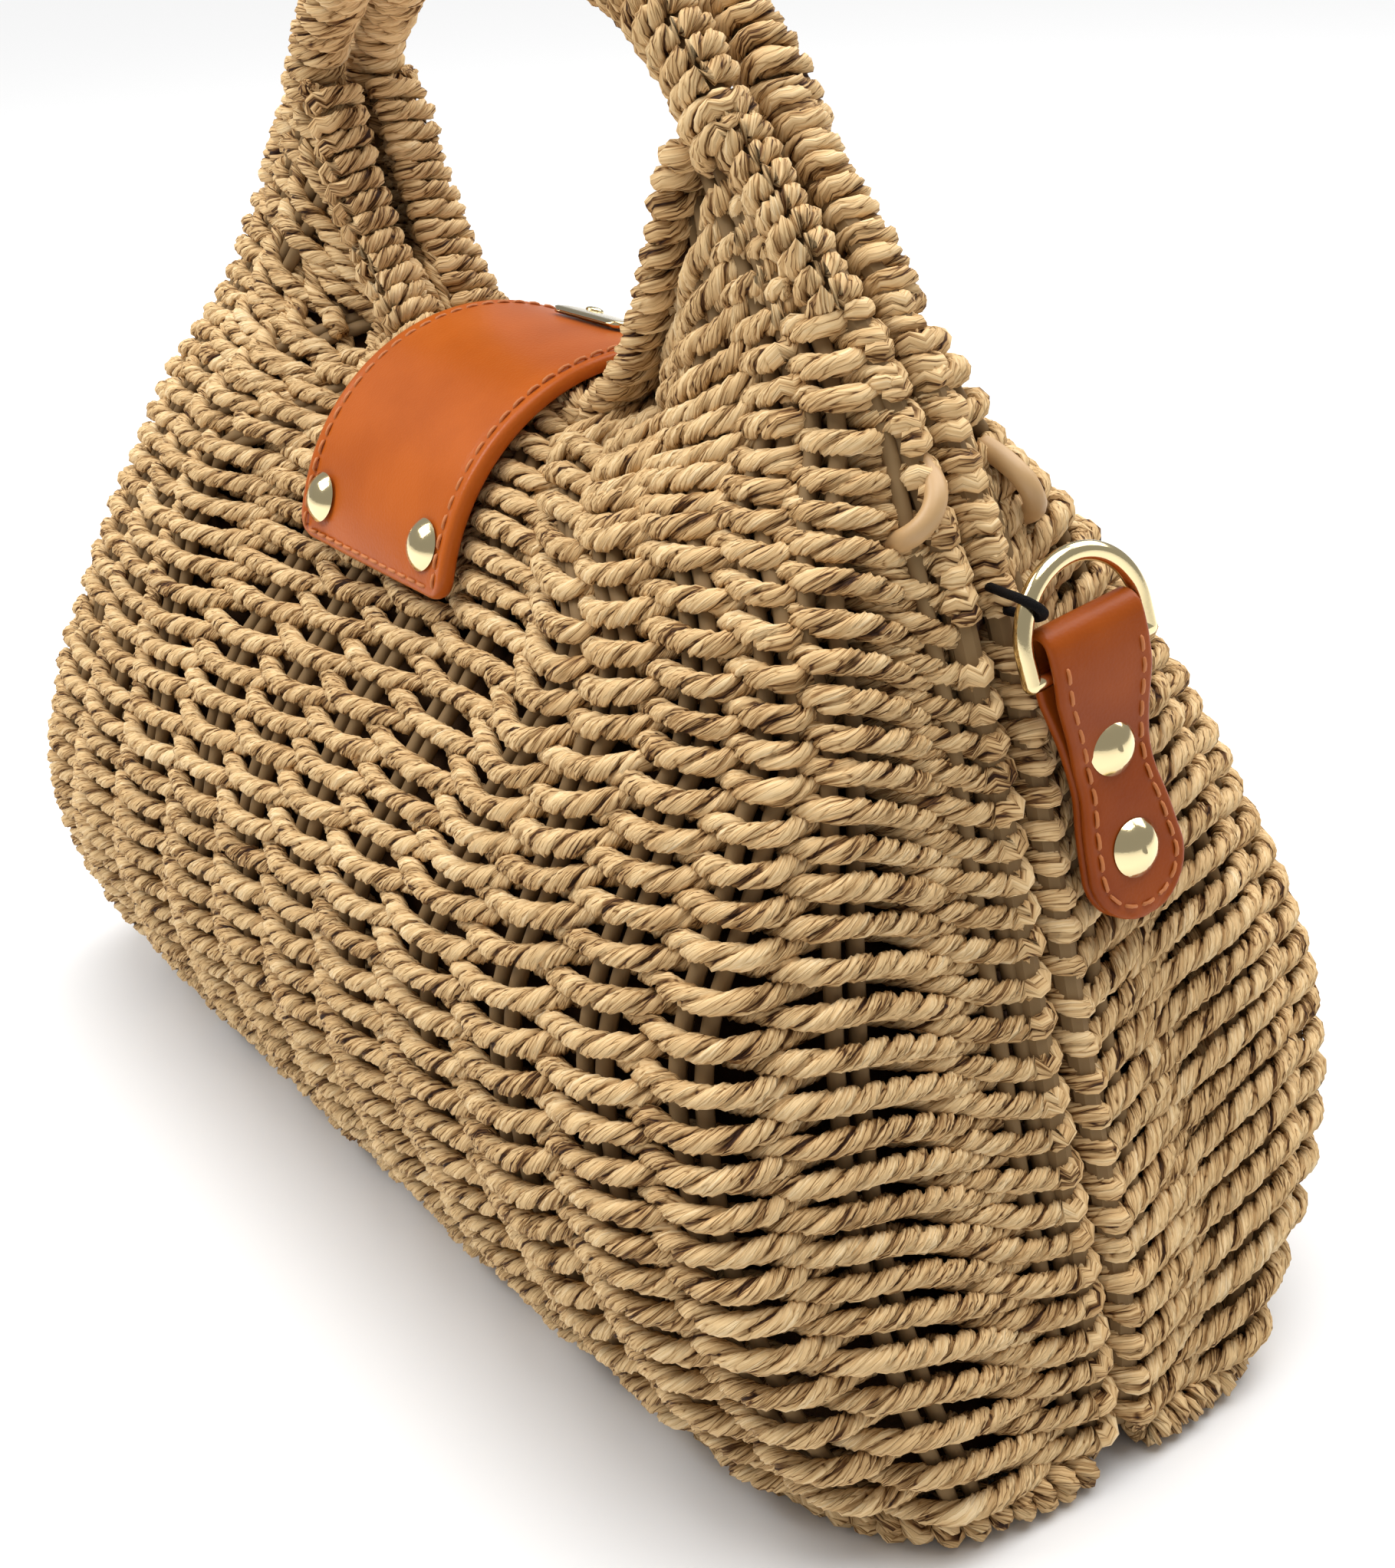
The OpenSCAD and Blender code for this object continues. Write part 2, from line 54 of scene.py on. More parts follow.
# ---------------------------------------------------------------- shape of a shell
def table(rows):
    """A smooth, monotone curve through (height, value) rows."""
    z, v = np.array(rows, float).T
    step = np.diff(z)
    slope = np.diff(v) / step
    m = np.concatenate([slope[:1], np.zeros(len(v) - 2), slope[-1:]])
    for i in range(1, len(v) - 1):
        if slope[i - 1] * slope[i] > 0:
            m[i] = 2 * slope[i - 1] * slope[i] / (slope[i - 1] + slope[i])

    def at(q):
        q = np.clip(q, z[0], z[-1])
        i = np.clip(np.searchsorted(z, q) - 1, 0, len(z) - 2)
        t = (q - z[i]) / step[i]
        a = v[i] * (1 + 2 * t) * (1 - t) ** 2 + v[i + 1] * t * t * (3 - 2 * t)
        return a + step[i] * (m[i] * t * (1 - t) ** 2 - m[i + 1] * t * t * (1 - t))

    return at


def ease(t):
    """Smooth step from 0 to 1."""
    t = np.clip(t, 0, 1)
    return t * t * (3 - 2 * t)


def unit(v):
    """The same vectors, one long."""
    return v / np.linalg.norm(v, axis=-1, keepdims=True)


def lengths_along(points):
    """Distance of each point from the start of its line."""
    return np.concatenate([[0], np.cumsum(np.linalg.norm(np.diff(points, axis=0), axis=1))])


def at_lengths(q, s, points):
    """Points of a line at the distances q, where s holds the distances of its own points."""
    return np.stack([np.interp(q, s, points[:, i]) for i in range(3)], -1)


BASE_LENGTH = 163
BASE_DEPTH = 58
CREST_R = 41
CREST_Z = 129
SECTION_TURN = 400
half_length = table([(0, BASE_LENGTH), (35, 157.5), (65, 150), (98, 142), (128, 135), (148, 128.5),
                     (164, 122), (180, 113.5), (196, 101), (211, 86.5), (223, 74), (232, 64)])
low_depth = table([(0, BASE_DEPTH), (15, 65), (35, 75), (60, 80), (85, 76), (110, 62.5),
                   (122, 51.5), (129, 45.5), (135, 41)])
fullness = table([(0, 4.8), (30, 6.4), (60, 6.6), (85, 6), (110, 5.4), (150, 4.8), (166, 4.2)])
shoulder_depth = table([(85, 76), (110, 66), (129, 56), (148, 45), (164, 33.5), (174, 25), (190, 18),
                        (206, 15.5), (224, 14)])
hole_half = table([(170, 31.5), (174, 34.5), (180, 40), (188, 47.5), (198, 54), (210, 58.7), (224, 60.5)])


def crest_depth(z):
    """How far out the middle of a shell stands: its curved wall, and the round crest over it."""
    arc = np.sqrt(np.maximum(0, CREST_R ** 2 - (z - CREST_Z) ** 2))
    return np.where(z < 136, low_depth(z), arc)


def shell(z, u, inset):
    """Point of the rear shell at outer height z and share u of the half length, a distance inwards."""
    n = fullness(z)
    x = u * (half_length(z) - inset)
    horn = ease((np.abs(x) - 38) / 40)
    d = crest_depth(z)
    d = d + horn * np.where(z > 85, np.maximum(0, shoulder_depth(z) - d), 0)
    upright = np.where(z <= CREST_Z, 1, horn * ease((z - CREST_Z) / 25))
    shrink = inset / CREST_R * (1 - upright)
    d = d * (1 - shrink) - inset * upright
    plan = np.maximum(0, 1 - np.abs(u) ** n) ** (1 / n)
    return np.stack([x, -0.2 - np.maximum(0, d - 0.2) * plan, z - np.maximum(0, z - CREST_Z) * shrink], -1)


# Place of each stake from the middle (0) round the corner to the seam (2), against height
STAKES = [table([(85, 0.084), (143, 0.092), (161, 0.08), (168, 0.06)]),
          table([(50, 0.25), (85, 0.235), (111, 0.276), (135, 0.274), (150, 0.265), (160, 0.238),
                 (168, 0.18)]),
          table([(20, 0.5), (53, 0.45), (85, 0.425), (114, 0.51), (141, 0.59), (151, 0.49), (160, 0.385),
                 (170, 0.29)]),
          table([(20, 0.72), (57, 0.66), (88, 0.625), (116, 0.685), (142, 0.713), (152, 0.635), (162, 0.58),
                 (174, 0.49)]),
          table([(60, 0.865), (91, 0.825), (118, 0.89), (142, 0.925), (153, 0.87), (163, 0.79), (181, 0.785),
                 (215, 0.84)]),
          table([(20, 1.09), (61, 1.07), (92, 1.036), (118, 1.12), (142, 1.154), (152, 1.1), (163, 1.0),
                 (181, 1.055)]),
          table([(85, 1.426), (120, 1.4), (140, 1.35), (152, 1.28), (172, 1.24), (215, 1.24)]),
          table([(85, 1.88), (140, 1.84), (170, 1.78), (200, 1.7), (215, 1.6)])]
STAKE_TOPS = (169, 169, 169, 173, 208, 212, 206, 186)
# Half the distance between the two rods of a stake, and the radius of a rod
STAKE_PAIR = 2.2
STAKE_R = 1.5


def place_round(z, u):
    """Share of the half length plus share of the depth already turned: 0 in the middle, 2 at the seam."""
    n = fullness(z)
    side = np.minimum(np.abs(u), 1)
    return side + 1 - (1 - side ** n) ** (1 / n)


def share_at(z, place):
    """The share of the half length for a place round the section."""
    turn = np.radians(np.linspace(0, 90, SECTION_TURN))[None, :]
    n = fullness(np.atleast_1d(z))[:, None]
    scale = (np.sin(turn) ** n + np.cos(turn) ** n) ** (-1 / n)
    u = np.minimum(np.sin(turn) * scale, 1)
    rounds = u + 1 - np.cos(turn) * scale
    return np.array([np.interp(p, r, q) for p, r, q in zip(np.atleast_1d(place), rounds, u)])


def stake_number(z, u):
    """Continuous count along a row: 1 at the left hoop, 2 to 15 at the stakes, 16 at the right hoop.

    The last stake of each side stands so near the hoop that the rope goes round both as one.
    """
    places = np.stack([stake(z) for stake in STAKES[:-1]] + [np.full_like(z, 2.0)], -1)
    side = place_round(z, u)
    k = np.zeros_like(side)
    edges = np.concatenate([-places[..., :1], places], -1)
    for j in range(edges.shape[-1] - 1):
        a, b = edges[..., j], edges[..., j + 1]
        k = np.where((side >= a) & (side <= b), j + (side - a) / (b - a), k)
    return np.where(u >= 0, len(STAKES) + k, len(STAKES) + 1 - k)


# ---------------------------------------------------------------- paths of the rope
# A row swings this far to each side of its middle depth under the outer surface
WAVE = 2.8
MIDDLE = 5.0
# A row ends this far from the parting plane, where it turns round the hoop
SEAM_END = 5.4
COIL_PITCH = 4.4


def spaced(points, step):
    """The same line with its points a fixed distance apart."""
    points = np.asarray(points, float)
    s = lengths_along(points)
    q = np.linspace(0, s[-1], max(3, int(s[-1] / step) + 1))
    return at_lengths(q, s, points)


def softened(points, passes):
    """The same line with its corners rounded off."""
    p = np.array(points, float)
    for _ in range(passes):
        p[1:-1] = 0.25 * p[:-2] + 0.5 * p[1:-1] + 0.25 * p[2:]
    return p


# How far a row drops beside the seam, and how far it climbs round the end of the bag, against its height
droop = table([(0, 0), (40, 3), (80, 6), (165, 6), (180, 0)])
climb = table([(9.5, 5), (20, 9), (30, 11), (40, 11.5), (60, 9), (80, 7), (120, 7), (140, 6), (155, 5),
               (165, 3.5), (185, 0)])
# Heights at the seam of the first row and the last one, and where the pitch changes
FIRST_ROW = 9.5
LAST_ROW = 190
LOW_PITCH = 3.25
HIGH_PITCH = 2.75
PITCH_CHANGE = 100
# Above this height about half of the rows go right across, over the crest between these angles
WHOLE_ROWS = 151
CREST_ROWS = (34.5, 63.5)
# The others stop at this share of the half length, this far above or below a whole row
HORN_SHARE = 0.47
BESIDE_ROW = 1.5
# Within this distance of the middle a row is level
LEVEL_HALF = 50
# How far the turn round the hoop at the end of a lone row rises
TURN_RISE = 1.4


def row_line(seam_z, mid_z, number, reach=(-1, 1), rise=1.0):
    """One row across the shell, over and under the stakes, from seam to seam."""
    turn = np.radians(np.linspace(-90, 90, 1400))
    n = float(fullness(np.array(seam_z)))
    u = np.clip(np.sin(turn) * (np.abs(np.sin(turn)) ** n + np.abs(np.cos(turn)) ** n) ** (-1 / n), -1, 1)
    u = u[(u >= reach[0]) & (u <= reach[1])]
    z = np.full_like(u, seam_z)
    for _ in range(3):
        x = np.abs(u) * half_length(z)
        z = mid_z + (seam_z - mid_z) * ease((x - LEVEL_HALF) / (half_length(np.array(seam_z)) - LEVEL_HALF))
        v = place_round(z, u)
        z = z + rise * climb(np.array(seam_z)) * ease((v - 0.45) / 0.45) * (1 - ease((v - 1.35) / 0.55))
    wave = WAVE * np.cos(math.pi * (stake_number(z, u) + number))
    p = shell(z, u, MIDDLE - wave)
    sag = droop(np.array(seam_z)) * np.maximum(0, 1 - np.abs(p[:, 1]) / 35) ** 1.5
    p[:, 2] -= sag * ease((p[:, 2] - 20) / 40)
    return p[p[:, 1] < -SEAM_END]


def edge_turn(z0, z1, side, front_first):
    """Half a turn of rope round the hoop, between the ends of two rows."""
    a = np.radians(np.linspace(-50, 215, 22))
    if not front_first:
        a = a[::-1]
    z = np.linspace(z0, z1, len(a))
    x = half_length(z) - 5.0 + 3.4 * np.cos(a)
    y = -4.2 + 2.2 * np.sin(a)
    return np.stack([side * x, y, z], -1)


def wall_rows():
    """The rows of one shell's wall with their numbers, the low ones and the high ones apart."""
    heights = [FIRST_ROW]
    while heights[-1] < LAST_ROW:
        heights.append(heights[-1] + (LOW_PITCH if heights[-1] < PITCH_CHANGE else HIGH_PITCH))
    above = [i for i, z in enumerate(heights) if z > WHOLE_ROWS]
    whole = [i for n, i in enumerate(above) if n % 4 < 2]
    angles = np.radians(np.linspace(*CREST_ROWS, len(whole)))
    crest = {i: CREST_Z + CREST_R * math.sin(a) for i, a in zip(whole, angles)}
    low = []
    high = []
    for i, z in enumerate(heights):
        if i not in above:
            low.append((i, row_line(z, z, i)))
        elif i in crest:
            high.append((i, row_line(z, crest[i], i)))
        else:
            beside = crest[i - 1] + BESIDE_ROW if i - 1 in crest else crest[i + 1] - BESIDE_ROW
            for reach in ((-1, -HORN_SHARE), (HORN_SHARE, 1)):
                high.append((i, row_line(z, beside, i, reach)))
    return low, high


def zigzag(rows):
    """Rows joined into one line by turns round the hoops."""
    line = []
    for i, p in rows:
        right = i % 2 == 0
        p = p if right else p[::-1]
        if line:
            line.append(edge_turn(line[-1][-1, 2], p[0, 2], -1 if right else 1, True))
        line.append(p)
    return np.concatenate(line)


def lone_row(i, p):
    """A row on its own, with a turn round the hoop at each end that reaches the seam."""
    line = [p]
    if p[0, 0] < -90:
        line.insert(0, edge_turn(p[0, 2] + TURN_RISE, p[0, 2], -1, i % 2 == 0))
    if p[-1, 0] > 90:
        line.append(edge_turn(p[-1, 2], p[-1, 2] + TURN_RISE, 1, i % 2 == 0))
    return np.concatenate(line)


def corner_rows():
    """A short row at each bottom corner, under the first whole one."""
    z = 8.2
    share = 0.76
    return [row_line(z, z, 1, reach, 0.35) for reach in ((-1, -share), (share, 1))]


def crest_top_rows():
    """Three close rows along the top of the crest, under the edge of the hand hole."""
    paths = []
    for n, z in enumerate((167.2, 168.6, 169.6)):
        x = np.linspace(-36 + 2 * n, 36 - 2 * n, 90)
        level = np.full_like(x, z)
        u = x / half_length(level)
        wave = 1.2 * np.cos(math.pi * (stake_number(level, u) + n))
        paths.append(shell(level, u, MIDDLE - 1 - wave))
    return paths


def horn_rows():
    """Short rows that fill both horns up to the handle and lean down towards the hand hole."""
    paths = []
    for n, (z, lean) in enumerate(zip(np.arange(193, 213, 2.9), np.linspace(0.52, 0.9, 7))):
        x = np.linspace(float(half_length(np.array(z))) - 6, 36, 120)
        level = z - lean * (x[0] - x)
        keep = x > hole_half(level) + 5
        x, level = x[keep], level[keep]
        u = x / half_length(level)
        wave = 1.8 * np.cos(math.pi * (stake_number(level, u) + n))
        for side in (-1, 1):
            paths.append(shell(level, side * u, MIDDLE - 0.5 - wave))
    return paths


def wall_paths():
    """All the rope of one shell's wall: one long zigzag line and the short rows."""
    low, high = wall_rows()
    return [zigzag(low)] + [lone_row(i, p) for i, p in high] + corner_rows() + crest_top_rows() + horn_rows()


def base_paths():
    """Rope laid flat along the half base, over and under short cross stakes."""
    paths = []
    for n, y in enumerate(np.arange(9.5, 50, 3.6)):
        reach = (BASE_LENGTH - 12) * (1 - (y / (BASE_DEPTH - 4)) ** 4.8) ** (1 / 4.8)
        x = np.linspace(-reach, reach, 160)
        z = 4.6 + 0.9 * np.cos(math.pi * (x / 20 + n))
        paths.append(np.stack([x, np.full_like(x, -y), z], -1))
    return paths


def coil(centre, across, radii, pitch):
    """Rope wound round a line. across points from the line towards the wide radius."""
    centre = spaced(centre, 0.5)
    s = lengths_along(centre)
    t = unit(np.gradient(centre, axis=0))
    across = np.asarray(across, float)
    wide = unit(across - t * (t @ across)[:, None])
    thin = np.cross(t, wide)
    q = np.linspace(0, s[-1], int(s[-1] / pitch * 26))
    a = 2 * math.pi * q[:, None] / pitch
    return (at_lengths(q, s, centre) + radii[0] * np.cos(a) * at_lengths(q, s, wide)
            + radii[1] * np.sin(a) * at_lengths(q, s, thin))


def mirrored(half):
    """A line from the right side to the middle, carried on to the left side."""
    half = np.asarray(half, float)
    return np.concatenate([half, half[-2::-1] * [-1, 1, 1]])


def curve_through(points, per=14):
    """Catmull-Rom line through a few points."""
    p = np.asarray(points, float)
    p = np.concatenate([[2 * p[0] - p[1]], p, [2 * p[-1] - p[-2]]])
    t = np.linspace(0, 1, per, endpoint=False)[:, None]
    out = []
    for a, b, c, d in zip(p, p[1:], p[2:], p[3:]):
        out.append(0.5 * (2 * b + (c - a) * t + (2 * a - 5 * b + 4 * c - d) * t ** 2
                          + (3 * b - a - 3 * c + d) * t ** 3))
    return np.concatenate(out + [p[-2:-1]])


HANDLE_Y = -6.8
HANDLE = [(75, HANDLE_Y, 213.5), (73, HANDLE_Y, 216.5), (69, HANDLE_Y, 223), (63, HANDLE_Y, 229.5),
          (54, HANDLE_Y, 236), (42, HANDLE_Y, 241.8), (22, HANDLE_Y, 246.6), (0, HANDLE_Y, 248)]
HANDLE_COIL = 4.5
HAND_HOLE = [(66, -7, 215), (63, -7.5, 210), (61, -8, 203), (56.5, -8, 192), (50, -8, 182), (43, -8, 173.5),
             (37, -8.2, 168.5), (31, -8.4, 165.6), (16, -8.4, 164.8), (0, -8.4, 164.8)]


def handle_paths():
    """The rope wound round the handle's arch."""
    return [coil(curve_through(mirrored(HANDLE)), (0, 1, 0), (HANDLE_COIL, HANDLE_COIL), HANDLE_COIL)]


def rim_paths():
    """The rope round the hand hole, and round each outer edge up to the handle."""
    hole = curve_through(mirrored(HAND_HOLE))
    wide = np.array([0, 1, 0.16])
    out = [coil(hole, wide, (5.1, 1.9), COIL_PITCH)]
    for side in (-1, 1):
        z = np.linspace(191, 221, 30)
        line = np.stack([side * (half_length(z) - 5.4), np.full_like(z, -5.8), z], -1)
        out.append(coil(line, (0, 1, 0), (3.2, 3.2), COIL_PITCH))
    return out


def border_paths():
    """The rope wound round the edge of the half base."""
    turn = np.radians(np.linspace(-88, 88, 180))
    n = float(fullness(np.array(0.0)))
    scale = (np.abs(np.sin(turn)) ** n + np.cos(turn) ** n) ** (-1 / n)
    inset = 5.5
    x = (BASE_LENGTH - inset) * np.sin(turn) * scale
    y = -np.maximum((BASE_DEPTH - inset) * np.cos(turn) * scale, 5.2)
    return [coil(np.stack([x, y, np.full_like(x, 4.5)], -1), (0, 0, 1), (2.35, 2.35), COIL_PITCH)]


# ---------------------------------------------------------------- meshes
def make_mesh(name, verts, faces, material, fields=None):
    """A smooth mesh object from points in mm. faces is a list of index arrays, each of one face size."""
    me = bpy.data.meshes.new(name)
    me.vertices.add(len(verts))
    me.vertices.foreach_set("co", (np.asarray(verts, np.float32) * MM).ravel())
    faces = [np.asarray(f, np.int32) for f in faces if len(f)]
    loops = np.concatenate([f.ravel() for f in faces])
    sizes = np.concatenate([np.full(len(f), f.shape[1], np.int32) for f in faces])
    me.loops.add(len(loops))
    me.loops.foreach_set("vertex_index", loops)
    me.polygons.add(len(sizes))
    me.polygons.foreach_set("loop_start", np.concatenate([[0], np.cumsum(sizes)[:-1]]).astype(np.int32))
    me.update(calc_edges=True)
    me.polygons.foreach_set("use_smooth", np.full(len(sizes), True))
    for key, values in (fields or {}).items():
        values = np.asarray(values, np.float32)
        kind = "FLOAT_VECTOR" if values.ndim == 2 else "FLOAT"
        layer = me.attributes.new(key, kind, "POINT")
        layer.data.foreach_set("vector" if values.ndim == 2 else "value", values.ravel())
    me.validate()
    obj = bpy.data.objects.new(name, me)
    bpy.context.scene.collection.objects.link(obj)
    me.materials.append(material)
    return obj


ROPE_R = 2.15
OUTLINE_R = 2.17
TWIST = 11.0
ply_angles = np.radians([90, 72, 45, 15, -15, -45, -72, -90, -108, -135, -165, -195, -225, -252])
# A direction that no line of the bag follows, to start a frame round the line from
ASKEW = np.array([0.31, 0.83, 0.46])


def ply_radius(angle):
    """Outline of two flattened plies side by side."""
    c = np.abs(np.cos(angle))
    near, far, offset = 1.2, 1.9, 0.97
    k = c ** 2 / near ** 2 + np.sin(angle) ** 2 / far ** 2
    b = offset * c / near ** 2
    return (b + np.sqrt(b * b - k * (offset ** 2 / near ** 2 - 1))) / k


def wander(count, reach, seed):
    """Smooth random values along a line, one each point."""
    r = np.random.default_rng(seed)
    knots = r.normal(0, 1, max(4, int(count / reach) + 3))
    x = np.linspace(0, len(knots) - 1, count)
    i = np.minimum(x.astype(int), len(knots) - 2)
    return knots[i] + (knots[i + 1] - knots[i]) * ease(x - i)


def frame_along(p):
    """Two directions across a line, at right angles, for each of its points."""
    t = unit(np.gradient(p, axis=0))
    e1 = unit(np.cross(t, ASKEW))
    return e1, np.cross(t, e1)


def rings_round(p, a, r):
    """Rings of points round a line, at the angles a and radii r of each of its points."""
    e1, e2 = frame_along(p)
    ray = np.cos(a)[..., None] * e1[:, None] + np.sin(a)[..., None] * e2[:, None]
    return p[:, None] + r[..., None] * ray


def rope(name, paths, body_side, material, step, seed):
    """Two-ply twisted rope along each path, all in one mesh.

    body_side is -1 for the rear shell and 1 for the front. No point crosses the plane between them.
    """
    verts, quads, caps, lays, groove_shade, tone = [], [], [], [], [], []
    base = 0
    m = len(ply_angles)
    outline = ply_radius(ply_angles)
    # Painted shade in the groove between the plies: 1 at the groove's bottom, 0 on the crown of a ply
    groove_shade_share = (outline.max() - outline) / (outline.max() - outline.min())
    for number, line in enumerate(paths):
        p = softened(spaced(np.asarray(line) * [1, -body_side, 1], step), 1)
        count = len(p)
        own = seed * 1000 + number
        for i in range(3):
            p[:, i] += 0.16 * wander(count, 9, own * 3 + i)
        s = np.arange(count) * step
        turn = -2 * math.pi * s / TWIST + 0.5 * wander(count, 14, own + 77)
        a = ply_angles[None, :] + turn[:, None]
        r = outline[None, :] * ROPE_R / OUTLINE_R
        swell = 1 + 0.06 * wander(count, 5, own + 5)
        crumple = rng.normal(0, 0.045, (count, m))
        crumple = 0.5 * crumple + 0.25 * np.roll(crumple, 1, 0) + 0.25 * np.roll(crumple, -1, 0)
        r = r * swell[:, None] * (1 + 1.6 * crumple)
        r[0] *= 0.75
        r[-1] *= 0.75
        ring = rings_round(p, a, r)
        depth = body_side * ring[..., 1]
        ring[..., 1] = body_side * (0.05 + 0.35 * np.logaddexp(0, (depth - 0.05) / 0.35))
        verts.append(ring.reshape(-1, 3))
        i, j = np.meshgrid(np.arange(count - 1), np.arange(m), indexing="ij")
        k = (j + 1) % m
        quad = [i * m + j, (i + 1) * m + j, (i + 1) * m + k, i * m + k]
        quads.append(base + np.stack(quad, -1).reshape(-1, 4))
        caps.append(base + np.arange(m))
        caps.append(base + (count - 1) * m + np.arange(m)[::-1])
        shift = rng.uniform(0, 50)
        fine = ply_angles[None, :] + 0.05 * s[:, None]
        lay = np.stack([s[:, None] + 0 * fine + 90 * shift, 2.2 * np.cos(fine), 2.2 * np.sin(fine)], -1)
        lays.append(lay.reshape(-1, 3))
        # Painted shade for each point, darker towards the groove between the plies
        groove_shade.append(np.tile(groove_shade_share, count))
        shade = 0.55 * wander(count, 60, own + 11) + 0.35 * rng.normal()
        tone.append(np.repeat(shade, m))
        base += count * m
    fields = {"lay": np.concatenate(lays),
              "groove_shade": np.concatenate(groove_shade),
              "tone": np.concatenate(tone)}
    return make_mesh(name, np.concatenate(verts), [np.concatenate(quads), np.array(caps)], material, fields)


def grid_faces(rows, cols, closed=False):
    """Quads of a grid of points. closed joins the last column to the first."""
    i, j = np.meshgrid(np.arange(rows - 1), np.arange(cols if closed else cols - 1), indexing="ij")
    k = (j + 1) % cols
    return np.stack([i * cols + j, i * cols + k, (i + 1) * cols + k, (i + 1) * cols + j], -1).reshape(-1, 4)


def ribbon(path, normals, half_width, thickness, across=21, edge=0.9):
    """A strap along a line, with rounded edges and ends.

    Returns its points and faces, and for each point how far along and across the strap it lies and
    whether it is on the outside (1) or the inside (-1).
    """
    path, normals = np.asarray(path, float), np.asarray(normals, float)
    s = lengths_along(path)
    t = unit(np.gradient(path, axis=0))
    wide = unit(np.cross(normals, t))
    up = np.cross(t, wide)
    end = np.minimum(s, s[-1] - s)
    rise = np.sqrt(np.maximum(0.04, 1 - np.clip(1 - end / edge, 0, 1) ** 2))
    w = np.sin(np.linspace(-math.pi / 2, math.pi / 2, across))
    w = np.sign(w) * np.abs(w) ** 0.8
    hw = half_width(s) if callable(half_width) else np.asarray(half_width)
    place = w[None, :] * hw[:, None]
    lift = np.sqrt(np.maximum(0.03, 1 - np.clip((np.abs(place) - hw[:, None] + edge) / edge, 0, 1) ** 2))
    half = 0.5 * thickness * lift * rise[:, None]
    mid = path[:, None] + place[..., None] * wide[:, None]
    top = mid + half[..., None] * up[:, None]
    low = mid - half[..., None] * up[:, None]
    ring = np.concatenate([top, low[:, ::-1]], 1)
    m = 2 * across
    faces = [grid_faces(len(path), m, True)[:, ::-1],
             np.array([np.arange(m)[::-1]]),
             np.array([(len(path) - 1) * m + np.arange(m)])]
    along = np.repeat(s[:, None], m, 1)
    side = np.concatenate([place, place[:, ::-1]], 1)
    face = np.concatenate([np.ones_like(place), -np.ones_like(place)], 1)
    return ring, faces, along, side, face


# ---------------------------------------------------------------- materials
def shader(name):
    """A new material, with its nodes, links and main shader."""
    mat = bpy.data.materials.new(name)
    mat.use_nodes = True
    return mat, mat.node_tree.nodes, mat.node_tree.links, mat.node_tree.nodes["Principled BSDF"]


def plain(name, color, rough, metal=0.0, bump=0.0, grain=900):
    """One colour with a little variation in roughness and height."""
    mat, nodes, links, out = shader(name)
    out.inputs["Base Color"].default_value = (*color, 1)
    out.inputs["Metallic"].default_value = metal
    out.inputs["Roughness"].default_value = rough
    coords = nodes.new("ShaderNodeTexCoord")
    noise = nodes.new("ShaderNodeTexNoise")
    noise.inputs["Scale"].default_value = grain
    noise.inputs["Detail"].default_value = 4
    links.new(coords.outputs["Object"], noise.inputs["Vector"])
    span = nodes.new("ShaderNodeMapRange")
    span.inputs["To Min"].default_value = rough * 0.85
    span.inputs["To Max"].default_value = rough * 1.2
    links.new(noise.outputs["Fac"], span.inputs["Value"])
    links.new(span.outputs["Result"], out.inputs["Roughness"])
    if bump:
        relief = nodes.new("ShaderNodeBump")
        relief.inputs["Strength"].default_value = bump
        relief.inputs["Distance"].default_value = 0.0004
        links.new(noise.outputs["Fac"], relief.inputs["Height"])
        links.new(relief.outputs["Normal"], out.inputs["Normal"])
    return mat


def ramp(nodes, stops):
    """A colour ramp through (place, colour) stops."""
    node = nodes.new("ShaderNodeValToRGB")
    items = node.color_ramp.elements
    items[0].position, items[0].color = stops[0][0], (*stops[0][1], 1)
    items[1].position, items[1].color = stops[-1][0], (*stops[-1][1], 1)
    for at, color in stops[1:-1]:
        items.new(at).color = (*color, 1)
    return node


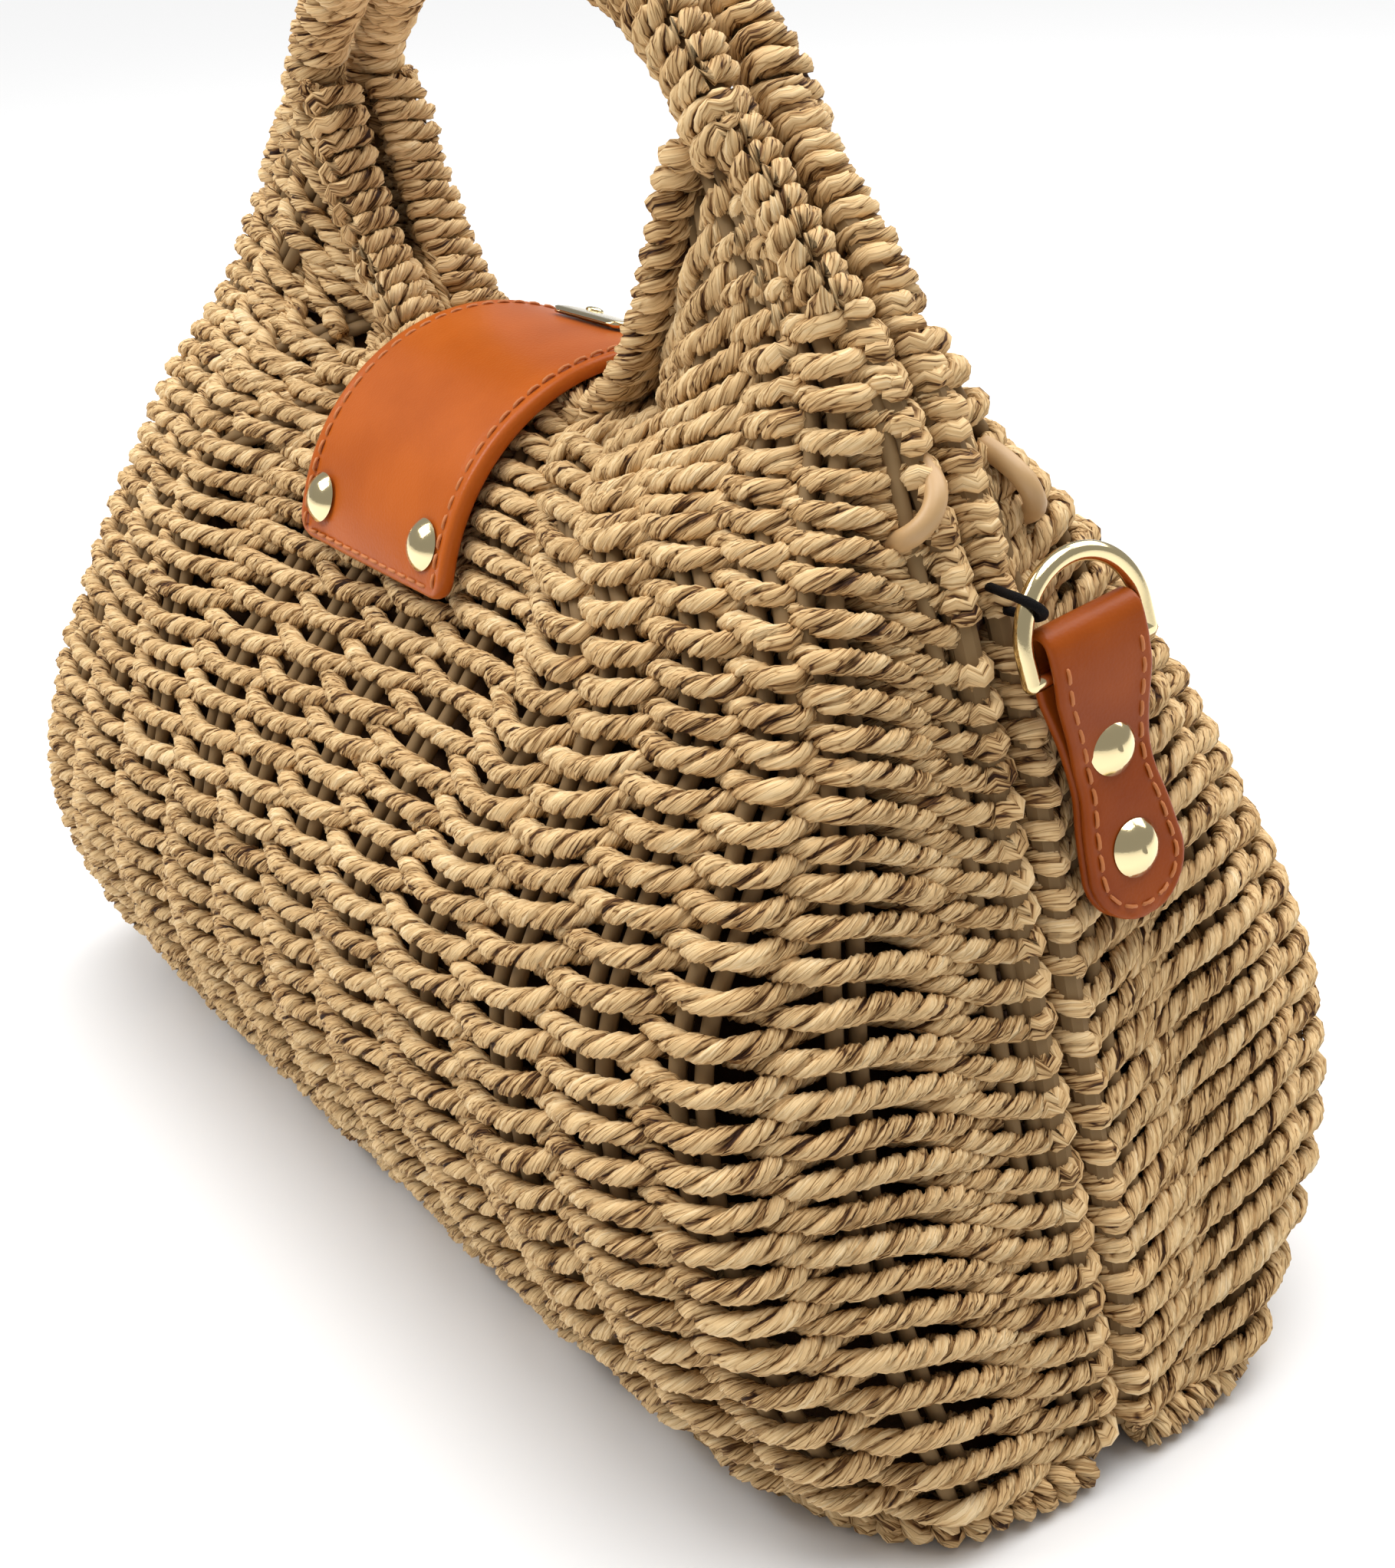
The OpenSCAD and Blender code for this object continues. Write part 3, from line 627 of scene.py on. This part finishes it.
def paper_rope(name):
    """Twisted paper: long streaks along each ply, with painted shade in its thin creases and in the grooves
    between the plies.
    """
    mat, nodes, links, out = shader(name)
    lay = nodes.new("ShaderNodeAttribute")
    lay.attribute_name = "lay"
    stretch = nodes.new("ShaderNodeMapping")
    stretch.inputs["Scale"].default_value = (0.10, 1.0, 1.0)
    links.new(lay.outputs["Vector"], stretch.inputs["Vector"])
    streak = nodes.new("ShaderNodeTexNoise")
    streak.inputs["Scale"].default_value = 1.5
    streak.inputs["Detail"].default_value = 4
    streak.inputs["Roughness"].default_value = 0.5
    links.new(stretch.outputs["Vector"], streak.inputs["Vector"])
    fold = nodes.new("ShaderNodeMapping")
    fold.inputs["Scale"].default_value = (0.20, 1.0, 1.0)
    links.new(lay.outputs["Vector"], fold.inputs["Vector"])
    crease = nodes.new("ShaderNodeTexVoronoi")
    crease.feature = "DISTANCE_TO_EDGE"
    crease.inputs["Scale"].default_value = 0.72
    links.new(fold.outputs["Vector"], crease.inputs["Vector"])
    thin = nodes.new("ShaderNodeMapRange")
    thin.inputs["From Max"].default_value = 0.055
    thin.inputs["To Min"].default_value = 1.0
    thin.inputs["To Max"].default_value = 0.0
    links.new(crease.outputs["Distance"], thin.inputs["Value"])
    patch = nodes.new("ShaderNodeTexNoise")
    patch.inputs["Scale"].default_value = 0.16
    patch.inputs["Detail"].default_value = 2
    links.new(lay.outputs["Vector"], patch.inputs["Vector"])
    tone = nodes.new("ShaderNodeAttribute")
    tone.attribute_name = "tone"
    groove_shade = nodes.new("ShaderNodeAttribute")
    groove_shade.attribute_name = "groove_shade"

    def mix(op, a, b):
        node = nodes.new("ShaderNodeMath")
        node.operation = op
        for i, v in enumerate((a, b)):
            if isinstance(v, (int, float)):
                node.inputs[i].default_value = v
            else:
                links.new(v, node.inputs[i])
        return node.outputs[0]

    blotch = mix("MULTIPLY", mix("SUBTRACT", patch.outputs["Fac"], 0.5), 0.55)
    value = mix("ADD", streak.outputs["Fac"], blotch)
    value = mix("ADD", value, mix("MULTIPLY", tone.outputs["Fac"], 0.055))
    # Painted shade: darker towards the groove between the plies
    value = mix("SUBTRACT", value, mix("MULTIPLY", groove_shade.outputs["Fac"], 0.20))
    # Painted shade in the thin creases of the paper; the same creases also dent the bump below
    value = mix("SUBTRACT", value, mix("MULTIPLY", thin.outputs["Result"], 0.17))
    height = mix("SUBTRACT", streak.outputs["Fac"], mix("MULTIPLY", thin.outputs["Result"], 0.35))
    colors = ramp(nodes, [(0.14, (0.035, 0.012, 0.004)),
                          (0.25, (0.15, 0.066, 0.02)),
                          (0.32, (0.36, 0.205, 0.078)),
                          (0.42, (0.62, 0.40, 0.185)),
                          (0.60, (0.79, 0.56, 0.29)),
                          (0.80, (0.90, 0.70, 0.43))])
    links.new(value, colors.inputs["Fac"])
    links.new(colors.outputs["Color"], out.inputs["Base Color"])
    out.inputs["Roughness"].default_value = 0.6
    out.inputs["Specular IOR Level"].default_value = 0.15
    relief = nodes.new("ShaderNodeBump")
    relief.inputs["Strength"].default_value = 0.55
    relief.inputs["Distance"].default_value = 0.0007
    links.new(height, relief.inputs["Height"])
    links.new(relief.outputs["Normal"], out.inputs["Normal"])
    return mat


def leather(name, dark, light, rough):
    """Smooth leather with faint pull-up and pores."""
    mat, nodes, links, out = shader(name)
    coords = nodes.new("ShaderNodeTexCoord")
    cloud = nodes.new("ShaderNodeTexNoise")
    cloud.inputs["Scale"].default_value = 45
    cloud.inputs["Detail"].default_value = 5
    links.new(coords.outputs["Object"], cloud.inputs["Vector"])
    colors = ramp(nodes, [(0.3, dark), (0.7, light)])
    links.new(cloud.outputs["Fac"], colors.inputs["Fac"])
    links.new(colors.outputs["Color"], out.inputs["Base Color"])
    out.inputs["Roughness"].default_value = rough
    out.inputs["Specular IOR Level"].default_value = 0.18
    pores = nodes.new("ShaderNodeTexVoronoi")
    pores.inputs["Scale"].default_value = 1600
    links.new(coords.outputs["Object"], pores.inputs["Vector"])
    relief = nodes.new("ShaderNodeBump")
    relief.inputs["Strength"].default_value = 0.10
    relief.inputs["Distance"].default_value = 0.0003
    links.new(pores.outputs["Distance"], relief.inputs["Height"])
    links.new(relief.outputs["Normal"], out.inputs["Normal"])
    return mat


def cloth(name, body, hem):
    """Woven cloth: its own pale colour along the hem, and painted shade, nearly black, over the rest."""
    mat = plain(name, body, 0.85, 0.0, 0.5, 3000)
    nodes, links = mat.node_tree.nodes, mat.node_tree.links
    share = nodes.new("ShaderNodeAttribute")
    share.attribute_name = "hem"
    # Painted shade: the body colour, nearly black, away from the hem; the cloth's own colour at the hem
    colors = ramp(nodes, [(0.3, body), (0.7, hem)])
    links.new(share.outputs["Fac"], colors.inputs["Fac"])
    links.new(colors.outputs["Color"], nodes["Principled BSDF"].inputs["Base Color"])
    return mat


ROPE = paper_rope("paper_rope")
FLAP_LEATHER = leather("flap_leather", (0.37, 0.075, 0.006), (0.46, 0.102, 0.011), 0.33)
TAB_LEATHER = leather("tab_leather", (0.24, 0.042, 0.003), (0.36, 0.074, 0.006), 0.36)
EDGE = plain("stitch_thread", (0.50, 0.16, 0.04), 0.6)
GOLD = plain("pale_gold", (0.82, 0.68, 0.39), 0.13, 1.0, 0.03, 2500)
STEEL = plain("plain_steel", (0.55, 0.55, 0.57), 0.35, 1.0)
# Stakes and hoops: the cane's own tan, darkened with painted shade for the inside of the bag
CANE_WITH_SHADE = plain("round_cane_shaded", (0.22, 0.14, 0.065), 0.6, 0.0, 0.3, 400)
CANE = plain("smooth_cane", (0.50, 0.31, 0.14), 0.45, 0.0, 0.2, 300)
# The lining's body colour is painted shade, nearly black; the hem colour is the cloth's own
SHADED_LINING = cloth("lining_cloth_shaded", (0.05, 0.023, 0.009), (0.70, 0.46, 0.34))
CORD = plain("black_cord", (0.004, 0.003, 0.003), 0.7, 0.0, 0.8, 4000)
for dull in (CANE_WITH_SHADE, SHADED_LINING, CORD):
    dull.node_tree.nodes["Principled BSDF"].inputs["Specular IOR Level"].default_value = 0.1
FLOOR = plain("white_floor", (0.80, 0.80, 0.80), 0.75)

# ---------------------------------------------------------------- camera, light and floor
scene = bpy.context.scene
CAMERA_PLACE = (0.3665, -0.2167, 0.2703)
azimuth, elevation, roll = (math.radians(v) for v in (56.21, 24.80, -3.83))
back = Vector((math.sin(azimuth) * math.cos(elevation),
               -math.cos(azimuth) * math.cos(elevation),
               math.sin(elevation)))
level = (-back).cross(Vector((0, 0, 1))).normalized()
upward = level.cross(-back)
right = math.cos(roll) * level + math.sin(roll) * upward
up = -math.sin(roll) * level + math.cos(roll) * upward
lens = bpy.data.cameras.new("camera")
lens.sensor_fit = "VERTICAL"
lens.sensor_height = 36
lens.lens = 50.52
lens.clip_start = 0.01
camera = bpy.data.objects.new("camera", lens)
turned_to = Matrix((right, up, back)).transposed().to_4x4()
camera.matrix_world = Matrix.Translation(Vector(CAMERA_PLACE)) @ turned_to
scene.collection.objects.link(camera)
scene.camera = camera

world = bpy.data.worlds.new("studio")
scene.world = world
world.use_nodes = True
world.node_tree.nodes["Background"].inputs["Color"].default_value = (1, 1, 1, 1)
world.node_tree.nodes["Background"].inputs["Strength"].default_value = 0.36


def softbox(name, place, size, power, target):
    """A rectangular lamp that looks at its target. Lengths in metres, power in watts."""
    data = bpy.data.lights.new(name, "AREA")
    data.shape = "RECTANGLE"
    data.size, data.size_y = size
    data.energy = power
    obj = bpy.data.objects.new(name, data)
    obj.location = place
    obj.rotation_euler = (Vector(place) - Vector(target)).to_track_quat("Z", "Y").to_euler()
    scene.collection.objects.link(obj)


softbox("side_box", (-0.5, -0.7, 1.15), (0.8, 0.6), 12, (0, 0, 0.18))
softbox("back_box", (0.0, 1.0, 1.0), (1.1, 0.7), 9, (0, 0, 0.16))
sun = bpy.data.lights.new("overhead", "SUN")
sun.energy = 2.6
sun.angle = math.radians(50)
lamp = bpy.data.objects.new("overhead", sun)
lamp.rotation_euler = Vector((0.04, 0.12, 1.0)).to_track_quat("Z", "Y").to_euler()
scene.collection.objects.link(lamp)
scene.view_settings.view_transform = "Standard"

REACH = 9000
floor = make_mesh("floor", [(-REACH, -REACH, 0), (REACH, -REACH, 0), (REACH, REACH, 0), (-REACH, REACH, 0)],
                  [np.array([[0, 1, 2, 3]])], FLOOR)

# ---------------------------------------------------------------- rope of the two shells
# Name of the piece, its lines, the distance between its points, and the CAD node it stands for
ROPES = [("_rope_weave", wall_paths(), 1.3, "_weave"),
         ("_rope_base", base_paths(), 2.2, None),
         ("_rope_handle", handle_paths(), 1.2, "_handle_wrap"),
         ("_rope_rims", rim_paths(), 1.2, "_crest_rim"),
         ("_rope_border", border_paths(), 1.4, "_base_border")]
HALVES = (("rear", -1), ("front", 1))
for half, (part, side) in enumerate(HALVES):
    body = part + "_shell"
    for n, (name, paths, step, stands_for) in enumerate(ROPES):
        obj = rope(part + name, paths, side, ROPE, step, 10 * half + n + 1)
        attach(obj, body)
        if stands_for:
            node = part + stands_for
            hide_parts(node)


def tubes(name, lines, radius, material, sides=8):
    """Round rods with closed ends along several lines, in one mesh."""
    verts, quads, caps, base = [], [], [], 0
    angle = np.linspace(0, 2 * math.pi, sides, endpoint=False)
    for line in lines:
        p = np.asarray(line, float)
        ring = rings_round(p, angle[None, :], np.array([[radius]]))
        verts.append(ring.reshape(-1, 3))
        quads.append(base + grid_faces(len(p), sides, True))
        caps += [base + np.arange(sides)[::-1], base + (len(p) - 1) * sides + np.arange(sides)]
        base += len(p) * sides
    return make_mesh(name, np.concatenate(verts), [np.concatenate(quads), np.array(caps)], material)


# ---------------------------------------------------------------- stakes and lining
def stake_lines():
    """Both rods of every stake of a shell, on both its sides."""
    lines = []
    for share, top in zip(STAKES, STAKE_TOPS):
        z = np.linspace(8, top, 60)
        u = share_at(z, share(z))
        keep = (z < 168) | (u * half_length(z) > hole_half(z) + 3)
        z, u = z[keep], u[keep]
        p = shell(z, u, MIDDLE)
        along = unit(shell(z, np.minimum(u + 0.01, 1), MIDDLE) - shell(z, u - 0.01, MIDDLE))
        for shift in (-STAKE_PAIR, STAKE_PAIR):
            q = p + shift * along
            q[:, 1] = np.minimum(q[:, 1], -2.4)
            lines += [q, q * [-1, 1, 1]]
    return lines


LINING_THICK = 1.6
# How far the cloth lies under the outer surface, at the hem and below it
HEM_INSET = 9.4
BODY_INSET = 13
LINING_FLOOR = 8.4
FLOOR_ROWS = (0.03, 0.35, 0.7, 0.95)


def lining_mesh(name, side):
    """Cloth over its board: the floor, the wall and the hem at the parting line."""
    turn = np.linspace(-math.pi / 2, math.pi / 2, 81)
    u = np.clip(np.sin(turn) * (np.abs(np.sin(turn)) ** 5 + np.cos(turn) ** 5) ** (-1 / 5), -1, 1)
    sheets = []
    own_colour_share = []
    for thick in (0, LINING_THICK):
        rows = []
        for share in FLOOR_ROWS:
            p = shell(np.full_like(u, 9.0), u, HEM_INSET + thick)
            p[:, 1] = -0.25 + share * (p[:, 1] + 0.25)
            p[:, 2] = LINING_FLOOR + thick
            rows.append(p)
        for z in np.concatenate([[13], np.linspace(18, 169.6, 44)]):
            edge = shell(np.full_like(u, z), u, HEM_INSET + thick)
            deep = shell(np.full_like(u, z), u, BODY_INSET + thick)
            share = ease((-edge[:, 1] - 3) / 10) * ease((z - 10) / 25) * (1 - ease((z - 150) / 15))
            rows.append(edge + share[:, None] * (deep - edge))
        rows = np.array(rows)
        # Share of the cloth's own colour: near the hem on the face towards the rope, and all over the inner
        # face; painted shade elsewhere
        own_colour_share.append(np.maximum(1 - ease((-rows[..., 1] - 3) / 5), float(thick > 0)))
        sheets.append(rows * [1, -side, 1])
    rows, cols = sheets[0].shape[:2]
    count = rows * cols
    index = np.arange(count).reshape(rows, cols)
    outer = grid_faces(rows, cols)
    edge = np.concatenate([index[0], index[1:, -1], index[-1, -2::-1], index[-2:0:-1, 0]])
    after = np.roll(edge, -1)
    rim = np.stack([edge, after, after + count, edge + count], -1)
    faces = [outer[:, ::-1], outer + count, rim]
    if side > 0:
        faces = [f[:, ::-1] for f in faces]
    return make_mesh(name, np.concatenate([s.reshape(-1, 3) for s in sheets]), faces, SHADED_LINING,
                     {"hem": np.array(own_colour_share).ravel()})


# Cane ends bent out over the shoulder of each shell, beside the seam. Both are given as for the rear shell
TAILS = {"rear": [(112.5, -2.6, 171.6), (117, -3.2, 169.6), (120.6, -4.9, 167.4), (121.9, -7.2, 164.8),
                  (121, -9.4, 162.4), (117.4, -10.8, 160), (113, -11.4, 158.4)],
         "front": [(112, -12.4, 169.6), (117, -12.6, 168), (120.4, -13.2, 165.8), (121.7, -14.2, 163),
                   (120.8, -15.2, 160.4), (116.5, -15.8, 158)]}
TAIL_R = 1.9
STAKE_LINES = stake_lines()
for part, side in HALVES:
    rods = tubes(part + "_cane_stakes", [p * [1, -side, 1] for p in STAKE_LINES], STAKE_R, CANE_WITH_SHADE)
    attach(rods, part + "_shell")
    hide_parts(part + "_stakes")
    tail = curve_through(TAILS[part]) * [1, -side, 1]
    tails = tubes(part + "_cane_ends", [tail, tail * [-1, 1, 1]], TAIL_R, CANE, 12)
    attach(tails, part + "_shell")
    lining = lining_mesh(part + "_cloth_lining", side)
    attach(lining, part + "_shell")
    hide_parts(part + "_lining")

# ---------------------------------------------------------------- leather
# The flap lies round the crest's axis, from its riveted start behind to its end in front, in degrees
FLAP_R = 43.3
FLAP_HALF = 29.25
FLAP_THICK = 3.4
FLAP_CORNER = 5.0
FLAP_START = 172
FLAP_END = 24
RIVET_ANGLE = 160
RIVET_X = 20.5
SEWN_IN = 3.2


def crest_point(angle, radius, x=0.0):
    """Points round the crest's axis. 180 degrees is straight back and 90 is straight up."""
    a = np.radians(angle)
    return np.stack([np.full_like(a, x), radius * np.cos(a), CREST_Z + radius * np.sin(a)], -1)


def crest_normal(angle):
    """Directions out of the crest's axis."""
    return crest_point(angle, 1.0) - [0, 0, CREST_Z]


def end_spaced(length, step, edge):
    """Distances along a strap, closer together at both ends."""
    tip = edge * (1 - np.cos(np.linspace(0, math.pi / 2, 9)))
    middle = np.linspace(edge, length - edge, int(length / step))
    return np.concatenate([tip, middle[1:-1], (length - tip)[::-1]])


def rounded_end(half, corner, length):
    """Half the width of a strap against the distance along it, with rounded corners at both ends."""
    def width(s):
        end = np.clip(np.minimum(s, length - s), 0, corner)
        return half - corner + np.sqrt(np.maximum(0, corner ** 2 - (corner - end) ** 2))
    return width


FLAP_LENGTH = math.radians(FLAP_START - FLAP_END) * FLAP_R
s = end_spaced(FLAP_LENGTH, 1.2, FLAP_CORNER)
angle = FLAP_START - np.degrees(s / FLAP_R)
ring, faces, along, across, face = ribbon(crest_point(angle, FLAP_R), crest_normal(angle),
                                          rounded_end(FLAP_HALF, FLAP_CORNER, FLAP_LENGTH),
                                          FLAP_THICK, 41, 1.3)
outward = unit(ring * [0, 1, 1] - [0, 0, CREST_Z])
rivet_s = math.radians(FLAP_START - RIVET_ANGLE) * FLAP_R
# The leather is pressed in at the rivets and the seam, rolls up at its edge, and is a little uneven
relief = 0
for x in (-RIVET_X, RIVET_X):
    relief = relief - 0.5 * np.exp(-((ring[..., 0] - x) ** 2 + (along - rivet_s) ** 2) / 60)
from_edge = FLAP_HALF - np.abs(across)
groove = np.abs(from_edge - SEWN_IN)
relief = relief - 0.22 * np.exp(-(groove / 0.7) ** 2) + 0.25 * np.exp(-(from_edge / 2.0) ** 2)
relief = relief + 0.25 * np.sin(along / 17 + ring[..., 0] / 23) - 0.25
ring = ring + outward * (relief * (face > 0))[..., None]
flap = make_mesh("leather_flap", ring.reshape(-1, 3), faces, FLAP_LEATHER)


STITCH = 2.6
STITCH_PITCH = 3.7


def stitches(line, normals):
    """Short sewn stitches along a line on the leather."""
    s = lengths_along(line)
    out = []
    for start in np.arange(1.0, s[-1] - STITCH, STITCH_PITCH):
        q = start + STITCH * np.array([0, 0.12, 0.5, 0.88, 1])
        lift = np.array([-0.35, 0.05, 0.16, 0.05, -0.35])
        out.append(at_lengths(q, s, line) + at_lengths(q, s, normals) * lift[:, None])
    return out


sewn = []
SEAM_R = FLAP_R + 1.5
a = np.linspace(170, 26, 160)
for x in (-FLAP_HALF + SEWN_IN, FLAP_HALF - SEWN_IN):
    sewn += stitches(crest_point(a, SEAM_R, x), crest_normal(a))
for end in (169.2, 26.8):
    a = np.full(60, end)
    x = np.linspace(-FLAP_HALF + 4.5, FLAP_HALF - 4.5, 60)
    sewn += stitches(crest_point(a, SEAM_R, x), crest_normal(a))
thread = tubes("flap_stitching", sewn, 0.36, EDGE, 6)
for obj in (flap, thread):
    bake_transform(obj)
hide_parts("flap_foot", "flap")


PLATE_ANGLE = 58
PLATE_R = FLAP_R + FLAP_THICK / 2 + 0.75
PLATE_HALF = 12.0
PLATE_LENGTH = 34.0
a = PLATE_ANGLE - np.degrees(np.linspace(-PLATE_LENGTH / 2, PLATE_LENGTH / 2, 45) / PLATE_R)
ring, faces, *_ = ribbon(crest_point(a, PLATE_R), crest_normal(a),
                         rounded_end(PLATE_HALF, 3.0, PLATE_LENGTH), 1.4, 17, 0.4)
plate = make_mesh("gold_closure_plate", ring.reshape(-1, 3), faces, GOLD)


def domes(name, places, normals, profile, material, sides=20):
    """Round caps standing on given places. profile is (radius, height) from the rim to the crown."""
    verts, quads, caps, base = [], [], [], 0
    turn = np.linspace(0, 2 * math.pi, sides, endpoint=False)
    for place, normal in zip(np.asarray(places, float), np.asarray(normals, float)):
        e1 = unit(np.cross(normal, [1, 0, 0]))
        e2 = np.cross(normal, e1)
        ray = np.cos(turn)[:, None] * e1 + np.sin(turn)[:, None] * e2
        verts.append(np.concatenate([place + r * ray + h * normal for r, h in profile]))
        quads.append(base + grid_faces(len(profile), sides, True))
        caps += [base + np.arange(sides)[::-1], base + (len(profile) - 1) * sides + np.arange(sides)]
        base += len(profile) * sides
    return make_mesh(name, np.concatenate(verts), [np.concatenate(quads), np.array(caps)], material)


stud_angles = np.array([PLATE_ANGLE + v for v in (-10, 10) for _ in (0, 1)])
stud_places = crest_point(stud_angles, PLATE_R + 0.6)
stud_places[:, 0] = [-9, 9, -9, 9]
studs = domes("gold_closure_studs", stud_places, crest_normal(stud_angles),
              [(1.9, 0), (1.9, 0.25), (1.65, 0.6), (1.0, 0.82), (0.3, 0.9)], GOLD)
for obj, node in ((plate, "closure_plate"), (studs, "closure_studs")):
    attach(obj, "flap")
    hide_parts(node)


def turned(*steps):
    """A rotation matrix from turns about named axes, in degrees."""
    m = Matrix.Identity(3)
    for axis, degrees in steps:
        m = m @ Matrix.Rotation(math.radians(degrees), 3, axis)
    return np.array(m)


# A tab is drawn in its own frame, upright with its outside towards +x, and then leant on the wall
TAB_TURN = turned(("Z", -2), ("Y", -11.5), ("X", 7.6))
TAB_PLACE = np.array([137.8, 16, 116])
TAB_THICK = 1.75
TAB_LOBE = 10.2
LOBE_Z = -11.5
TAB_RIVETS = (-9, 9)
TAB_SEWN_IN = 2.2


def tab_width(z):
    """Half the width of a tab against its height: a round lower lobe, a waist, and full at the ring."""
    round_end = TAB_LOBE * np.sqrt(np.maximum(0.004, 1 - ((z - LOBE_Z) / 9.5) ** 2))
    side = table([(LOBE_Z, TAB_LOBE), (-4, 9.3), (4, 8), (10, 8.3), (20, 10)])(z)
    return np.where(z < LOBE_Z, round_end, side)


def tab_mesh(name, mirror):
    """A strap folded over the straight bar of the ring, with its two leaves riveted together."""
    fold = np.radians(np.linspace(0, 180, 15))
    outer = [[2.7, 0, -21.0], [2.7, 0, 6.5], [3.1, 0, 9.5], [5.6, 0, 21.5], [6.1, 0, 25], [6.1, 0, 28.6]]
    over = np.stack([3.5 + 2.6 * np.cos(fold), 0 * fold, 29.1 + 2.6 * np.sin(fold)], -1)
    inner = [[0.9, 0, 28.6], [0.9, 0, -21.0]]
    dense = softened(spaced(np.concatenate([outer, over, inner]), 0.5), 6)
    q = lengths_along(dense)
    s = end_spaced(q[-1], 0.9, 9.0)
    p = at_lengths(s, q, dense)
    t = unit(np.gradient(p, axis=0))
    normals = np.stack([t[:, 2], 0 * s, -t[:, 0]], -1)
    ring, faces, along, across, face = ribbon(p, normals, tab_width(p[:, 2]), TAB_THICK, 25, 0.7)
    front = (face > 0) & (along < 30)
    dent = np.zeros_like(along)
    for z in TAB_RIVETS:
        dent = dent - 0.35 * np.exp(-((ring[..., 2] - z) ** 2 + ring[..., 1] ** 2) / 40)
    dent = dent - 0.16 * np.exp(-((np.abs(across) - (tab_width(ring[..., 2]) - TAB_SEWN_IN)) / 0.5) ** 2)
    ring[..., 0] += dent * front
    ring = ring @ TAB_TURN.T + TAB_PLACE
    if mirror:
        ring = ring * [-1, 1, 1]
        faces = [f[:, ::-1] for f in faces]
    return make_mesh(name, ring.reshape(-1, 3), faces, TAB_LEATHER)


def tab_stitches(mirror):
    """Thread along both edges of a tab and round its lower end."""
    below = 7.2
    z = np.concatenate([np.linspace(26, -11, 40), LOBE_Z - below * np.sin(np.linspace(0, math.pi / 2, 16))])
    x = np.interp(z, [-21, 6.5, 9.5, 21.5, 25], [3.6, 3.6, 4.0, 6.5, 7.0])
    lobe = 8 * np.sqrt(np.maximum(0, 1 - ((z - LOBE_Z) / below) ** 2))
    y = np.where(z > LOBE_Z, tab_width(z) - TAB_SEWN_IN, lobe)
    line = np.concatenate([np.stack([x, y, z], -1), np.stack([x, -y, z], -1)[-2::-1]])
    out = stitches(line, np.repeat([[1.0, 0, 0]], len(line), 0))
    return [(p @ TAB_TURN.T + TAB_PLACE) * [-1 if mirror else 1, 1, 1] for p in out]


for side in ("left", "right"):
    sewing = tubes(side + "_tab_stitching", tab_stitches(side == "left"), 0.34, EDGE, 6)
    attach(sewing, "front_shell")
    strap = tab_mesh(side + "_leather_tab", side == "left")
    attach(strap, "front_shell")
    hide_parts(side + "_tab")


LOOP_PLACES = (-146, -73, 0, 73, 146)


def loop_mesh():
    """Leather loops round both hoops, each a closed band."""
    count = 48
    turn = np.linspace(0, 2 * math.pi, count, endpoint=False)
    centre = np.stack([0 * turn, 3.4 * np.sign(np.cos(turn)), 0 * turn + 4.6], -1)
    ray = np.stack([0 * turn, np.cos(turn), np.sin(turn)], -1)
    # across the band and out of its inner face
    section = [(-5.5, 0.25), (-5.2, 0), (5.2, 0), (5.5, 0.25),
               (5.5, 0.85), (5.2, 1.1), (-5.2, 1.1), (-5.5, 0.85)]
    verts, faces, base = [], [], 0
    m = len(section)
    for x in LOOP_PLACES:
        rings = [centre + ray * (2.65 + h) + [x + w, 0, 0] for w, h in section]
        verts.append(np.stack(rings, 1).reshape(-1, 3))
        i, j = np.meshgrid(np.arange(count), np.arange(m), indexing="ij")
        a, b = (i + 1) % count, (j + 1) % m
        faces.append(base + np.stack([i * m + j, i * m + b, a * m + b, a * m + j], -1).reshape(-1, 4))
        base += count * m
    return make_mesh("leather_hinge_loops", np.concatenate(verts), [np.concatenate(faces)], TAB_LEATHER)


loops = loop_mesh()
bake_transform(loops)
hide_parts("hinge_loops")

# ---------------------------------------------------------------- cord
# From the seam, round a limb of the right ring, and back to the seam
ROUTE = [(122.4, 2.6, 151.2), (126.5, 1.2, 152.1), (130.1, 0.5, 152.4), (132.6, -0.2, 152.8),
         (134.3, -0.3, 152.8), (135.7, 0.4, 152.3), (136.5, 1.5, 151.4), (136.2, 2.8, 150.2),
         (135.1, 3.5, 149.2), (133.6, 3.5, 148.6), (130.8, 3.3, 148.5), (126.9, 3.3, 148.1),
         (122.4, 2.8, 148.4)]
route = curve_through(ROUTE, 5)
stay = tubes("black_stay_cord", [route], 0.8, CORD, 10)
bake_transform(stay)
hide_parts("stay_cord")

# ---------------------------------------------------------------- CAD nodes that are shown
SHOWN = {"rear_frame_hoop": CANE_WITH_SHADE, "front_frame_hoop": CANE_WITH_SHADE,
         "flap_rivets": GOLD, "tab_rivets": GOLD, "left_d_ring": GOLD, "right_d_ring": GOLD,
         "flap_rivet_washers": STEEL, "tab_rivet_washers": STEEL, "catch_washer": STEEL,
         "catch_magnet": STEEL, "flap_magnet": STEEL}
for name, material in SHOWN.items():
    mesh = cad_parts[name].data
    mesh.materials.clear()
    mesh.materials.append(material)
